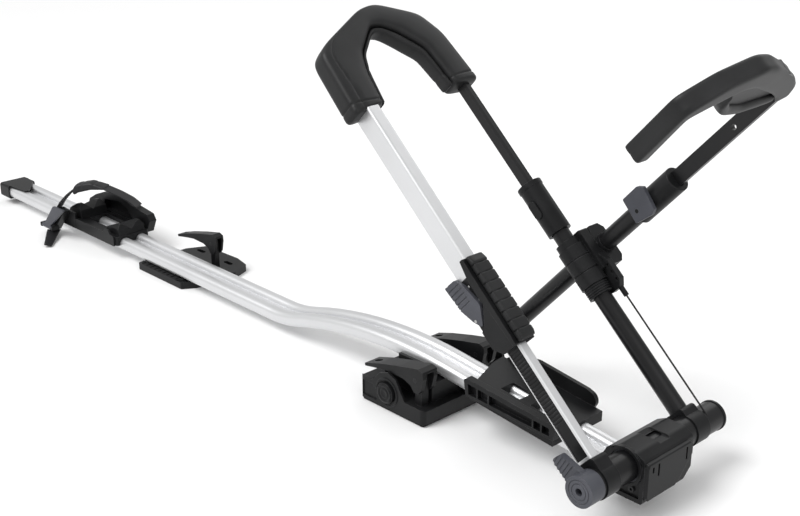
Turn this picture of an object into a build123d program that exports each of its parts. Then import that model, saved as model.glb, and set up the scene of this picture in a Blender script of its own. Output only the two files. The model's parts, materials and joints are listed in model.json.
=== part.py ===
from build123d import *
import os
from math import cos, radians, sin, tan

os.makedirs("parts", exist_ok=True)

# Frame: origin at the middle of the front foot's underside, +X to the hinge end, +Z up.
# The near side, where the ratchet handle is, is -Y.

# Fits shared by all pieces
running_clearance = 0.05  # radial, pin in bore
sliding_clearance = 0.4  # each side, one profile sliding in another
seat_gap = 0.1  # clip-on mouldings on what carries them
cut_overrun = 6.0
pass_gap = 0.6  # between pieces that pass each other
edge_round = 1.2

# Tray: one extrusion with two rounded ribs, bent up over the front foot
tray_width = 54.0
tray_height = 21.6
tray_wall = 2.0
rib_width = 20.0
rib_radius = 8.5
web_thickness = 3.6
tray_rear_x = -1202.0
tray_front_x = 372.0
tray_rear_z = 26.0  # middle of the section
ramp_foot_x = -305.0
hump_x = -118.0
hump_z = 81.2
front_slope = 6.0  # degrees, falling towards the hinge
ramp_foot_radius = 215.0
hump_radius = 820.0

# Rear end cap
end_cap_rear_x = -1220.0
end_cap_front_x = -1185.0
end_cap_half = 29.4
end_cap_low = 12.6
end_cap_corner = 5.0
end_cap_tongue_thickness = 3.4

# Hinge across the front end, and the primary hoop on it
hinge_x = 376.0
hinge_z = 65.0
hoop_lean = 42.3  # degrees above the horizontal, leaning rearwards
hinge_tube_radius = 19.5
hinge_tube_wall = 3.5
hinge_near_y = -112.0
hinge_far_y = 131.0
bush_wall = 2.0
bush_length = 12.0

# Near leg: rail with the rack in it, inside the upper tube
near_leg_y = -96.0
rail_width = 27.0
rail_depth = 15.0
rail_wall = 2.4
rail_low = 21.0
rail_high = 400.0
rack_width = 21.0
rack_depth = 3.0
rack_low = 30.0
rack_tooth_low = 76.0
rack_tooth_pitch = 4.65
rack_tooth_count = 50
rack_tooth_height = 1.4
upper_tube_width = 33.0
upper_tube_depth = 21.0
upper_tube_wall = 2.6
upper_tube_low = 190.0
upper_tube_high = 540.0
tube_corner_radius = 4.0
rail_corner_radius = 3.0

# Far leg: round tube, sleeve and faceted rod
far_leg_y = 86.0
far_leg_off = -1.5
far_tube_radius = 12.25
far_tube_bore = 10.35
far_tube_high = 372.0
far_rod_width = 18.0
far_rod_depth = 13.0
far_rod_facet = 3.0
far_rod_low = 250.0
far_rod_overlap = 35.0  # into the hoop's pad
far_sleeve_radius = 16.7
far_sleeve_low = 302.0
far_sleeve_high = 379.0

# Sockets that hold the legs on the hinge tube
socket_ring_radius = 21.2
near_socket_y = (-108.0, -84.0)
near_socket_off = (-17.0, 20.0)
far_socket_y = (72.5, 98.5)
far_socket_off = (-17.5, 16.0)
socket_top = 26.0
socket_round = 6.0

# Secondary arm on the front foot
arm_foot_x = 0.0
arm_foot_z = 37.5
arm_slope = 47.6  # degrees above the horizontal, leaning forwards
arm_y = 122.0
arm_tube_radius = 12.7
arm_tube_wall = 1.6
arm_tube_low = 20.0
arm_tube_high = 442.0
arm_eye_radius = 11.5
arm_eye_width = 20.0
arm_sleeve_radius = 17.0
arm_sleeve_low = 372.0
arm_sleeve_high = 448.0
arm_bar_low = 330.0
arm_bar_width = 20.0
arm_bar_thickness = 8.0
bar_hole_from_hook = 16.0
arm_bar_hole_radius = 3.6

# Collar on the far leg, and the block that pins it to the arm
pivot_along = 259.093
pivot_off = 13.5
block_along = (228.8, 288.8)
block_off = (5.0, 22.0)
block_split_y = 107.75
block_near_y = 92.0
collar_low = 202.0
collar_high = 285.0
collar_radius = 19.2
collar_bore_gap = 0.35
collar_neck_radius = 16.0
collar_neck_high = 218.0
collar_shoulder = (275.0, 16.8)  # place along the leg, and radius above it
pivot_pin_radius = 3.0
bush_ring_radius = 13.9
bush_ring_length = 5.0
wire_radius = 1.2
wire_bore = 1.6
wire_y = 103.2
wire_off = 18.6
wire_low = 2.0
wire_high = 286.0
ferrule_radius = 3.6
ferrule_low = 184.0
bracket_low = 197.0
bracket_high = 250.0

# Front foot
foot_rear_x = -64.0
foot_front_x = 63.0
foot_near_y = -78.0
foot_far_y = 80.0
foot_pad_thickness = 4.0
foot_pad_inset = 3.0
foot_cheek = 3.6
foot_cheek_height = 56.0
foot_floor_height = 32.0
foot_corner = 7.0
foot_pocket_depth = 2.0
foot_tower = (-46.0, 46.0)
foot_tower_half_x = 48.0
foot_tower_top = 52.0
foot_wall = 3.2
saddle_half_x = 34.0
saddle_half_y = 32.0
saddle_top = 66.0
knob_x = -9.0
knob_z = 29.0
knob_radius = 15.6
knob_thickness = 5.0
knob_recess_radius = 17.0
knob_recess_depth = 1.4
knob_axle_radius = 3.0
knob_axle_length = 14.0
knob_boss_radius = 8.0
knob_grip_width = 5.0
knob_grip_depth = 2.2
knob_band = (21.5, 19.0)  # raised ring round the knob
knob_band_height = 1.2

# Clamp levers, the same moulding three times
lever_width = 27.6
lever_fork = 14.0
lever_pivot_x = 42.0
lever_pivot_z = 64.0
lever_pin_radius = 3.0
lever_post_width = 13.2
lever_post_half = 6.2
lever_y = 60.0
lever_hole = (14.0, 8.0)
lever_hole_x = -44.0
rear_lever_shift_x = -638.0
rear_lever_drop = 8.0
rear_lever_y = 56.5
rear_lever_width = 17.0
rear_lever_fork = 9.4
rear_post_width = 8.6

# Front cradle
front_cradle_near_y = -46.0
front_cradle_far_y = 54.0
front_cradle_windows = [(143.0, 177.0), (195.0, 228.0)]
window_half = 12.5
wing_thickness = 6.0
front_rail_y = (-57.0, -46.1)
front_rail_wall = 3.5
front_rail_ribs = [140.0, 160.0, 236.0, 250.0]
front_rail_rib_width = 2.4

# Base housing round the hinge
housing_half = 49.0
cover_thickness = 5.0
cover_gap = 0.1
cover_clip = (3.4, 17.0)
cover_round = 2.0
housing_round = 4.0
short_clip = (-38.0, 68.0)
short_clip_share = 0.45
housing_rim = (25.5, 2.4)  # radius and height, round the hinge tube

# Rear foot
rear_foot_plate_z = 12.0
rear_saddle_half = 24.0
rear_saddle_top = 21.0
rear_saddle_x = (-690.0, -592.0)
rear_slot_y = 82.0
rear_slot_x = (-676.0, -594.0)
rear_slot_length = 22.0
rear_slot_radius = 4.25
rear_pad_thickness = 2.5

# Rear cradle
rear_cradle_x = (-950.0, -771.0)
rear_cradle_half = 34.0
rear_cradle_low = 25.0
rear_cradle_top = 41.5
rear_window_low = (-899.0, -14.0)
rear_window_high = (-838.0, 24.0)
rear_hump_x = (-948.0, -900.0)
front_hump_x = (-822.0, -773.0)
hump_wall = 3.0
hump_hollow_top = 47.0
hump_round = 4.0
side_plate_thickness = 3.4
far_arch_y = (34.2, 49.0)
arch_skin = 3.0
strap_width = 25.0
strap_root = (-797.0, 47.0)
strap_away_share = (-0.8551, -0.5184)
strap_thickness = 2.6
tail_root = (-956.0, -62.0)
tail_away_share = (0.78, -0.6258)
strap_pad_width = 27.0

# Rear foot's ribbed pad
rear_pad_rib_pitch = 12.5
rear_pad_rib_gap = 3.0

# Base housing details
housing_recess = 3.0
cover_taper = 8.0
base_screw_radius = 4.0
base_screw_length = 2.4
base_screw_socket = 1.8

# Caps on the hinge tube
far_cap_radius = 20.5
far_cap_length = 5.0
far_cap_ring = (16.0, 14.5)
fold_cap_rings = [(15.5, 14.0), (11.0, 9.5)]
fold_ring_depth = 0.8
fold_cap_radius = 20.0
fold_cap_length = 24.0
fold_spigot_radius = 15.9
fold_spigot_length = 18.0
fold_paddle_inset = 5.7
fold_paddle_width = 9.0
fold_rib_count = 5
fold_rib_pitch = 5.4
fold_rib_start = 25.0  # from the hinge's middle, along the paddle
fold_rib_width = 2.4
fold_rib_depth = 0.9
fold_paddle_lean = 30.0  # degrees above the horizontal
fold_hole_radius = 5.0
fold_hole_depth = 12.0
socket_foot = 6.0

# Push tab in the far sleeve
tab_along = 40.0
tab_length = 26.0
tab_width = 13.0
tab_corner = 5.5
tab_depth = 4.5
tab_travel = 2.0
tab_proud = 1.6
sleeve_band_radius = 17.7
sleeve_band_length = 7.0

# Hoop core and pads
core_radius = 7.0
core_bend = 22.0
pad_overlap = 5.0  # over the upper tube
pad_near_y = -126.0
pad_reach = 160.0
pad_breadth = 233.0
pad_middle_off = -1.5
pad_width = 35.0
pad_taper = 10.0
pad_round = 4.0
lip_width = 22.0

# Ratchet handle
handle_y = (-112.0, -80.0)
handle_wall = 2.4
handle_rim_height = 1.6
handle_pin_radius = 2.0
lever_pivot_along = 238.0
lever_pivot_off = -19.6
lever_lug_y = (-106.8, -92.0)
lever_lug_radius = 4.2
lever_lug_low = (216.0, -23.8)
lever_lug_off = -17.0
trigger_plate = 4.8
trigger_far_y = -90.0
grip_width = 26.0
grip_segment_count = 9
grip_groove = 1.6
pawl_along = (205.0, 222.0)
pawl_half = 9.5
pawl_travel = 2.2
pawl_gap = 0.35
trigger_ridge_count = 5
trigger_ridge_start = 261.0
trigger_ridge_pitch = 6.4
trigger_ridge_width = 2.0
trigger_ridge_off = (-34.0, -9.0)
trigger_ridge_depth = 0.9

# Collar bracket
collar_ridge_count = 5
collar_ridge_pitch = 3.2
collar_grooves = [236.0, 256.0]
collar_groove_width = 2.0
collar_groove_depth = 1.2
collar_ridge_height = 1.4
bracket_y = (98.0, 107.0)
bracket_slot_count = 3
bracket_slot_pitch = 11.0
bracket_slot_half = 2.2
bracket_slot_off = (22.5, 26.5)

# Arm bracket, lever and hook
arm_bracket_floor = 6.0
arm_bracket_base = 7.0
arm_bracket_half = 17.0
arm_bracket_rib = 8.0
arm_cheek = 5.0
arm_cheek_near_y = 103.0
arm_cheek_far_y = 141.0
arm_cheek_radius = 10.0
arm_pin_radius = 4.0
arm_pin_head_radius = 7.0
arm_pin_head = 3.0
arm_eye_plug = 16.0
bush_ring_low = 295.6
arm_lever_y = (98.8, 104.6)
arm_lever_pivot = (386.0, 2.0)
arm_lever_pin_radius = 3.0
bar_bend = 20.0
hook_corner = 5.0
wing_corner = 12.0
cap_corner = 6.0
trigger_corner = 5.0
pad_bend = 24.0
hook_width = 24.6

hinge_centre = Vector(hinge_x, 0, hinge_z)
leg_up = Vector(-cos(radians(hoop_lean)), 0, sin(radians(hoop_lean)))
leg_off = Vector(sin(radians(hoop_lean)), 0, cos(radians(hoop_lean)))
arm_centre = Vector(arm_foot_x, 0, arm_foot_z)
arm_up = Vector(cos(radians(arm_slope)), 0, sin(radians(arm_slope)))
arm_off = Vector(sin(radians(arm_slope)), 0, -cos(radians(arm_slope)))

buckle_body_y = (-52.0, -38.0)
buckle_block = ((-954, 24), (-908, 55))
buckle_lever_y = (-61.5, -57.0)
buckle_barrel_radius = 4.2
buckle_barrel_x = (-993.0, -959.0)
buckle_pin_radius = 1.5
buckle_ear = 4.0
buckle_axis = (-59.0, 17.0)


def placed(low, size, shares):
    """Points at shares of a size, counted from its low corner."""
    return [(low[0] + size[0] * first, low[1] + size[1] * second) for first, second in shares]


def scaled(size, shares):
    return [size * share for share in shares]


# Corner radii of the outlines that have several, as shares of one radius
hook_rounds = scaled(hook_corner, [1, 3, 4, 5, 5, 6, 3, 1.6, 1, 5, 4, 3, 2.4, 2, 1])
housing_rounds = scaled(housing_round, [1, 2, 3, 3, 3, 1.2, 1])
wing_rounds = scaled(wing_corner, [0.2, 1, 1, 2, 1, 1, 0.7, 0.6, 0.1])
cap_rounds = scaled(cap_corner, [1, 1, 0.8, 0.3])
trigger_rounds = scaled(trigger_corner, [1, 1.6, 3, 1.2, 0.6, 2, 2])
pad_outer_rounds = scaled(pad_bend, [0.6, 0.6, 1.5, 1.2, 0.8, 0.7])
pad_inner_rounds = scaled(pad_bend, [0.8, 0.8, 0.4, 0.4, 1, 0.7])
lip_inner_rounds = scaled(pad_bend, [0.7, 0.7, 0.3, 0.3, 0.7, 0.7])

# Outlines and tables of places, each as shares of the size it spans
front_plate_outline_low = (86, 42)
front_plate_outline_size = (176, 32.6)
front_plate_outline_shares = [(0, 0.521), (0, 1), (1, 0.436), (1, 0)]
front_plate_outline = placed(front_plate_outline_low, front_plate_outline_size, front_plate_outline_shares)
base_screw_points_low = (352, 34)
base_screw_points_size = (34, 2.5)
base_screw_points_shares = [(1, 1), (0, 0)]
base_screw_points = placed(base_screw_points_low, base_screw_points_size, base_screw_points_shares)
bracket_outline_low = (197, 4)
bracket_outline_size = (53, 25)
bracket_outline_shares = [(0, 0), (0, 0.68), (0.17, 1), (0.736, 1), (1, 0.72), (1, 0.24), (0.66, 0)]
bracket_outline = placed(bracket_outline_low, bracket_outline_size, bracket_outline_shares)
arm_cheek_outline_low = (-16, 6)
arm_cheek_outline_size = (32, 31.5)
arm_cheek_outline_shares = [(0, 0), (0.188, 1), (0.812, 1), (1, 0)]
arm_cheek_outline = placed(arm_cheek_outline_low, arm_cheek_outline_size, arm_cheek_outline_shares)
block_outline_low = (229, 108.2)
block_outline_size = (60, 29.8)
block_outline_shares = [(0.217, 0), (0, 0.161), (0, 0.765), (0.133, 1), (0.867, 1), (1, 0.765),
                        (1, 0.161), (0.817, 0)]
block_outline = placed(block_outline_low, block_outline_size, block_outline_shares)
arm_lever_outline_low = (374.3, -21.7)
arm_lever_outline_size = (40.7, 40.2)
arm_lever_outline_shares = [(0.079, 0.005), (0.803, 0), (1, 0.142), (0.867, 0.913), (0.69, 1), (0, 0.876)]
arm_lever_outline = placed(arm_lever_outline_low, arm_lever_outline_size, arm_lever_outline_shares)
cheek_outline_low = (foot_rear_x, foot_pad_thickness)
cheek_outline_size = (foot_front_x - foot_rear_x, foot_cheek_height)
cheek_outline_shares = [(0, 0), (0, 0.607), (0.189, 0.607), (0.315, 0.893), (0.449, 1), (0.567, 0.893),
                        (0.709, 0.393), (1, 0.393), (1, 0)]
cheek_outline = placed(cheek_outline_low, cheek_outline_size, cheek_outline_shares)
floor_outline_low = (foot_rear_x, foot_pad_thickness)
floor_outline_size = (foot_front_x - foot_rear_x, foot_floor_height)
floor_outline_shares = [(0, 0), (0, 1), (0.142, 1), (0.268, 0.688), (0.661, 0.625), (1, 0.625), (1, 0)]
floor_outline = placed(floor_outline_low, floor_outline_size, floor_outline_shares)
lever_outline_low = (-59, 46)
lever_outline_size = (117, 37)
lever_outline_shares = [(0.009, 0.162), (0, 0.27), (0.248, 0.514), (0.59, 0.784), (0.915, 1),
                        (0.991, 0.919), (1, 0.649), (0.966, 0.162), (0.923, 0), (0.846, 0),
                        (0.795, 0.216), (0.675, 0.351), (0.419, 0.378), (0.214, 0.284)]
lever_outline = placed(lever_outline_low, lever_outline_size, lever_outline_shares)
lever_slot_outline_low = (20, 20)
lever_slot_outline_size = (46, 56.5)
lever_slot_outline_shares = [(0, 0), (0, 0.965), (0.565, 1), (1, 1), (1, 0)]
lever_slot_outline = placed(lever_slot_outline_low, lever_slot_outline_size, lever_slot_outline_shares)
wing_outline_low = (56, 27.5)
wing_outline_size = (196, 61.5)
wing_outline_shares = [(0, 0), (0.163, 0.691), (0.276, 0.919), (0.48, 1), (0.913, 0.821), (1, 0.724),
                       (0.99, 0.528), (0.903, 0.041), (0.862, 0)]
wing_outline = placed(wing_outline_low, wing_outline_size, wing_outline_shares)
front_rail_outline_low = (117, 58)
front_rail_outline_size = (157, 33)
front_rail_outline_shares = [(0.025, 0.242), (0, 0.909), (0.025, 1), (0.962, 0.636), (1, 0.545),
                             (0.981, 0)]
front_rail_outline = placed(front_rail_outline_low, front_rail_outline_size, front_rail_outline_shares)
housing_outline_low = (335, 22)
housing_outline_size = (69, 66)
housing_outline_shares = [(0.029, 0), (0, 0.5), (0.188, 0.879), (0.42, 1), (0.797, 1), (1, 0.879), (1, 0)]
housing_outline = placed(housing_outline_low, housing_outline_size, housing_outline_shares)
saddle_dip_outline_low = (-12, 85.6)
saddle_dip_outline_size = (32, 14.4)
saddle_dip_outline_shares = [(0, 1), (0.188, 0), (0.812, 0), (1, 1)]
saddle_dip_outline = placed(saddle_dip_outline_low, saddle_dip_outline_size, saddle_dip_outline_shares)
cover_outline_low = (-49, 27)
cover_outline_size = (93, 51)
cover_outline_shares = [(0.032, 1), (0.935, 1), (1, 0.922), (1, 0.627), (0.72, 0.078), (0.634, 0),
                        (0.043, 0), (0, 0.118), (0, 0.882)]
cover_outline = placed(cover_outline_low, cover_outline_size, cover_outline_shares)
clip_points_low = (-27, 64.5)
clip_points_size = (57, 0)
clip_points_shares = [(0, 0), (1, 0)]
clip_points = placed(clip_points_low, clip_points_size, clip_points_shares)
side_opening_outline_low = (346, 28)
side_opening_outline_size = (54, 56)
side_opening_outline_shares = [(0.204, 1), (0.741, 1), (1, 0.857), (0.963, 0), (0, 0), (0, 0.571)]
side_opening_outline = placed(side_opening_outline_low, side_opening_outline_size, side_opening_outline_shares)
rear_plate_outline_low = (-706, -33)
rear_plate_outline_size = (156, 141)
rear_plate_outline_shares = [(0, 0), (0, 0.73), (0.103, 0.972), (0.679, 1), (0.904, 0.943), (1, 0.695),
                             (0.936, 0.163), (0.846, 0)]
rear_plate_outline = placed(rear_plate_outline_low, rear_plate_outline_size, rear_plate_outline_shares)
rear_pad_outline_low = (-703, -33)
rear_pad_outline_size = (125, 8.5)
rear_pad_outline_shares = [(0, 1), (0.072, 0), (0.896, 0), (1, 1)]
rear_pad_outline = placed(rear_pad_outline_low, rear_pad_outline_size, rear_pad_outline_shares)
side_plate_outline_low = (-907.9, 24)
side_plate_outline_size = (130.9, 27)
side_plate_outline_shares = [(0, 0), (0, 0.741), (0.733, 0.741), (0.771, 1), (0.862, 1), (0.908, 0.741),
                             (0.977, 0.704), (1, 0.556), (1, 0)]
side_plate_outline = placed(side_plate_outline_low, side_plate_outline_size, side_plate_outline_shares)
rear_hump_outline_low = (-27, 38)
rear_hump_outline_size = (54, 32)
rear_hump_outline_shares = [(0, 0), (0, 0.688), (0.13, 1), (0.278, 0.875), (0.5, 0.562), (0.722, 0.875),
                            (0.87, 1), (1, 0.688), (1, 0)]
rear_hump_outline = placed(rear_hump_outline_low, rear_hump_outline_size, rear_hump_outline_shares)
front_hump_outline_low = (-27, 38)
front_hump_outline_size = (54, 25)
front_hump_outline_shares = [(0, 0), (0, 0.64), (0.13, 1), (0.315, 0.8), (0.5, 0.48), (0.685, 0.8),
                             (0.87, 1), (1, 0.64), (1, 0)]
front_hump_outline = placed(front_hump_outline_low, front_hump_outline_size, front_hump_outline_shares)
far_arch_outline_low = (-979, 33)
far_arch_outline_size = (213, 52)
far_arch_outline_shares = [(0, 0.212), (0.019, 0.365), (0.136, 0.635), (0.282, 0.865), (0.54, 1),
                           (0.714, 0.788), (0.967, 0.673), (1, 0.462), (0.944, 0), (0.183, 0)]
far_arch_outline = placed(far_arch_outline_low, far_arch_outline_size, far_arch_outline_shares)
far_arch_hole_low = (-926, 44)
far_arch_hole_size = (106, 28)
far_arch_hole_shares = [(0, 0), (0.075, 0.714), (0.566, 1), (0.849, 0.643), (1, 0)]
far_arch_hole = placed(far_arch_hole_low, far_arch_hole_size, far_arch_hole_shares)
cap_outline_low = (326, 61)
cap_outline_size = (49, 34)
cap_outline_shares = [(0, 0.647), (0.245, 1), (1, 0.618), (0.551, 0)]
cap_outline = placed(cap_outline_low, cap_outline_size, cap_outline_shares)
handle_outline_low = (183, -20.5)
handle_outline_size = (123, 40.5)
handle_outline_shares = [(0, 1), (1, 1), (1, 0.852), (0.821, 0.728), (0.537, 0.716), (0.512, 0.667),
                         (0.335, 0.18), (0.317, 0), (0.122, 0), (0.008, 0.309)]
handle_outline = placed(handle_outline_low, handle_outline_size, handle_outline_shares)
handle_rim_outline_low = (183, 8)
handle_rim_outline_size = (123, 12)
handle_rim_outline_shares = [(0, 1), (1, 1), (1, 0.5), (0.821, 0.083), (0.561, 0), (0.463, 0.25), (0.008, 0.5)]
handle_rim_outline = placed(handle_rim_outline_low, handle_rim_outline_size, handle_rim_outline_shares)
grip_outline_low = (184, 20.1)
grip_outline_size = (122, 11.4)
grip_outline_shares = [(0, 0), (0, 0.781), (0.041, 1), (0.918, 0.825), (0.975, 0.561), (1, 0)]
grip_outline = placed(grip_outline_low, grip_outline_size, grip_outline_shares)
pad_outer_low = (upper_tube_high - pad_overlap, pad_near_y)
pad_outer_size = (pad_reach, pad_breadth)
pad_outer_shares = [(0, 0), (0.613, 0.019), (0.713, 0.112), (0.969, 0.464), (1, 0.592), (0.819, 0.88),
                    (0.594, 0.961), (0.062, 1)]
pad_outer = placed(pad_outer_low, pad_outer_size, pad_outer_shares)
pad_inner_low = (upper_tube_high - pad_overlap, pad_near_y)
pad_inner_size = (pad_reach, pad_breadth)
pad_inner_shares = [(0.075, 0.803), (0.481, 0.768), (0.688, 0.644), (0.775, 0.549), (0.781, 0.472),
                    (0.544, 0.305), (0.356, 0.258), (0.037, 0.227)]
pad_inner = placed(pad_inner_low, pad_inner_size, pad_inner_shares)
lip_outer_low = (upper_tube_high - pad_overlap, pad_near_y)
lip_outer_size = (pad_reach, pad_breadth)
lip_outer_shares = [(0.087, 0.802), (0.481, 0.768), (0.688, 0.643), (0.775, 0.549), (0.781, 0.473),
                    (0.544, 0.305), (0.356, 0.258), (0.05, 0.228)]
lip_outer = placed(lip_outer_low, lip_outer_size, lip_outer_shares)
lip_inner_low = (upper_tube_high - pad_overlap, pad_near_y)
lip_inner_size = (pad_reach, pad_breadth)
lip_inner_shares = [(0.062, 0.258), (0.356, 0.288), (0.525, 0.33), (0.731, 0.485), (0.719, 0.545),
                    (0.619, 0.614), (0.444, 0.734), (0.087, 0.773)]
lip_inner = placed(lip_inner_low, lip_inner_size, lip_inner_shares)
core_path_low = (upper_tube_high - pad_overlap, pad_near_y)
core_path_size = (pad_reach, pad_breadth)
core_path_shares = [(-0.044, 0.129), (0.394, 0.124), (0.85, 0.386), (0.881, 0.609), (0.619, 0.91),
                    (0.194, 0.91)]
core_path = placed(core_path_low, core_path_size, core_path_shares)
hook_outline_low = (573.5, -102)
hook_outline_size = (139, 239)
hook_outline_shares = [(0, 0.013), (0.655, 0), (0.892, 0.176), (1, 0.397), (0.957, 0.515), (0.705, 0.833),
                       (0.532, 0.962), (0.324, 1), (0.309, 0.879), (0.295, 0.527), (0.482, 0.368),
                       (0.748, 0.293), (0.612, 0.172), (0.54, 0.071), (0.007, 0.109)]
hook_outline = placed(hook_outline_low, hook_outline_size, hook_outline_shares)
bar_path_low = (330, -92)
bar_path_size = (362.5, 214)
bar_path_shares = [(0, 1), (0.876, 1), (0.964, 0.766), (1, 0.43), (0.964, 0.15), (0.898, 0),
                   (0.71, 0.019)]
bar_path = placed(bar_path_low, bar_path_size, bar_path_shares)
strap_top_low = (13, 75.5)
strap_top_size = (64, 30.5)
strap_top_shares = [(0, 0), (0.234, 0.377), (0.594, 0.711), (1, 1)]
strap_top = placed(strap_top_low, strap_top_size, strap_top_shares)
strap_down_low = (141, 58)
strap_down_size = (38, 41)
strap_down_shares = [(0, 1), (0.368, 0.732), (0.763, 0.341), (1, 0)]
strap_down = placed(strap_down_low, strap_down_size, strap_down_shares)
strap_tail_low = (-20, 3.4)
strap_tail_size = (76, 5.4)
strap_tail_shares = [(0, 1), (0.263, 0.963), (0.526, 0.63), (0.763, 0.148), (1, 0)]
strap_tail = placed(strap_tail_low, strap_tail_size, strap_tail_shares)
strap_pad_outline_low = (75, 88)
strap_pad_outline_size = (68, 29)
strap_pad_outline_shares = [(0, 0.517), (0.059, 0.793), (0.441, 1), (0.912, 0.759), (1, 0.379),
                            (0.941, 0), (0.441, 0.448)]
strap_pad_outline = placed(strap_pad_outline_low, strap_pad_outline_size, strap_pad_outline_shares)
buckle_body_outline_low = (-992, 9)
buckle_body_outline_size = (68, 50)
buckle_body_outline_shares = [(0.676, 1), (1, 0.94), (0.382, 0), (0, 0.1)]
buckle_body_outline = placed(buckle_body_outline_low, buckle_body_outline_size, buckle_body_outline_shares)
buckle_lever_outline_low = (-989, 14.2)
buckle_lever_outline_size = (82, 50.8)
buckle_lever_outline_shares = [(0.524, 0.98), (1, 1), (0.207, 0), (0, 0.043)]
buckle_lever_outline = placed(buckle_lever_outline_low, buckle_lever_outline_size, buckle_lever_outline_shares)
trigger_outline_low = (225.9, -35.7)
trigger_outline_size = (69.9, 38.3)
trigger_outline_shares = [(0.983, 0.587), (1, 0), (0.496, 0.084), (0.197, 0.311), (0, 0.559), (0.343, 1),
                          (0.788, 0.804)]
trigger_outline = placed(trigger_outline_low, trigger_outline_size, trigger_outline_shares)
trigger_side_outline_low = (248, -35.7)
trigger_side_outline_size = (47.8, 15.7)
trigger_side_outline_shares = [(0, 1), (0.962, 0.682), (1, 0), (0.264, 0.204), (0, 0.541)]
trigger_side_outline = placed(trigger_side_outline_low, trigger_side_outline_size, trigger_side_outline_shares)
front_rail_recess_low = (124, 62)
front_rail_recess_size = (141, 22)
front_rail_recess_shares = [(0.014, 0.318), (0, 1), (0.993, 0.5), (1, 0)]
front_rail_recess = placed(front_rail_recess_low, front_rail_recess_size, front_rail_recess_shares)
front_plate_corner_low = (80, -60)
front_plate_corner_size = (38, 124)
front_plate_corner_shares = [(0, 0), (1, 0), (0.974, 0.113), (0.263, 0.726), (0.158, 1), (0, 1)]
front_plate_corner = placed(front_plate_corner_low, front_plate_corner_size, front_plate_corner_shares)
rear_hump_side_low = (-948, 40)
rear_hump_side_size = (47, 29)
rear_hump_side_shares = [(0, 0), (0.085, 0.483), (0.511, 0.931), (0.723, 1), (0.936, 0.621), (1, 0)]
rear_hump_side = placed(rear_hump_side_low, rear_hump_side_size, rear_hump_side_shares)
front_hump_side_low = (-822, 40)
front_hump_side_size = (49, 22)
front_hump_side_shares = [(0, 0), (0.204, 0.5), (0.653, 0.955), (0.878, 1), (0.98, 0.545), (1, 0)]
front_hump_side = placed(front_hump_side_low, front_hump_side_size, front_hump_side_shares)
housing_cut_low = (28, 10)
housing_cut_size = (24, 30)
housing_cut_shares = [(1, 1), (1, 0), (0, 0), (0.167, 0.4)]
housing_cut = placed(housing_cut_low, housing_cut_size, housing_cut_shares)
end_tongue_outline_low = (-1215, -29)
end_tongue_outline_size = (84, 56)
end_tongue_outline_shares = [(0, 0), (0.036, 1), (0.417, 0.946), (1, 0.286), (0.964, 0.179),
                             (0.357, 0.071)]
end_tongue_outline = placed(end_tongue_outline_low, end_tongue_outline_size, end_tongue_outline_shares)
foot_pocket_outline_low = (-59, 9)
foot_pocket_outline_size = (29, 23)
foot_pocket_outline_shares = [(0, 0), (0, 1), (0.724, 1), (1, 0.652), (1, 0)]
foot_pocket_outline = placed(foot_pocket_outline_low, foot_pocket_outline_size, foot_pocket_outline_shares)


def side(y):
    """Plane at y with x and z as drawn; extrudes towards -Y."""
    return Plane(origin=(0, y, 0), x_dir=(1, 0, 0), z_dir=(0, -1, 0))


def floor(z):
    return Plane(origin=(0, 0, z))


def across(x, z=0.0):
    """Section of the tray at x: x is Y and y is Z; extrudes towards +X."""
    return Plane(origin=(x, 0, z), x_dir=(0, 1, 0), z_dir=(1, 0, 0))


def across_leg(along, y=0.0, off=0.0):
    """Section of a hoop leg: x is off the hoop's plane, y is Y."""
    return Plane(origin=hinge_centre + leg_up * along + leg_off * off + Vector(0, y, 0),
                 x_dir=leg_off, z_dir=leg_up)


def beside_leg(y):
    """Hoop seen from the side: x along the leg, y off its plane; extrudes towards +Y."""
    return Plane(origin=hinge_centre + Vector(0, y, 0), x_dir=leg_up, z_dir=(0, 1, 0))


def facing_leg(off):
    """Hoop seen face on: x along the leg, y is Y; extrudes away from the front."""
    return Plane(origin=hinge_centre + leg_off * off, x_dir=leg_up, z_dir=leg_off * -1)


def across_arm(along, y=arm_y, off=0.0):
    return Plane(origin=arm_centre + arm_up * along + arm_off * off + Vector(0, y, 0),
                 x_dir=arm_off, z_dir=arm_up)


def beside_arm(y):
    return Plane(origin=arm_centre + Vector(0, y, 0), x_dir=arm_up, z_dir=(0, 1, 0))


def facing_arm(off):
    return Plane(origin=arm_centre + arm_off * off, x_dir=arm_up, z_dir=arm_off * -1)


def shape(at, points, radius=0.0):
    """Face inside the points; radius is one for all corners, or a list with one for each."""
    with BuildSketch(at) as drawn:
        with BuildLine():
            if isinstance(radius, list):
                FilletPolyline(*points, radius=radius, close=True)
            else:
                Polyline(*points, close=True)
        make_face()
        if radius and not isinstance(radius, list):
            fillet(drawn.vertices(), radius)
    return drawn.sketch


def band(at, outer, inner, outer_rounds, inner_rounds):
    """Face between two bent lines, closed by straight ends."""
    with BuildSketch(at) as drawn:
        with BuildLine():
            FilletPolyline(*outer, radius=outer_rounds)
            Line(outer[-1], inner[0])
            FilletPolyline(*inner, radius=inner_rounds)
            Line(inner[-1], outer[0])
        make_face()
    return drawn.sketch


def disc(at, radius, bore=0.0):
    with BuildSketch(at) as drawn:
        Circle(radius)
        if bore:
            Circle(bore, mode=Mode.SUBTRACT)
    return drawn.sketch


def oblong(at, width, depth, corner=0.0, wall=0.0):
    with BuildSketch(at) as drawn:
        if corner:
            RectangleRounded(width, depth, corner)
        else:
            Rectangle(width, depth)
        if wall:
            Rectangle(width - 2 * wall, depth - 2 * wall, mode=Mode.SUBTRACT)
    return drawn.sketch


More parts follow.
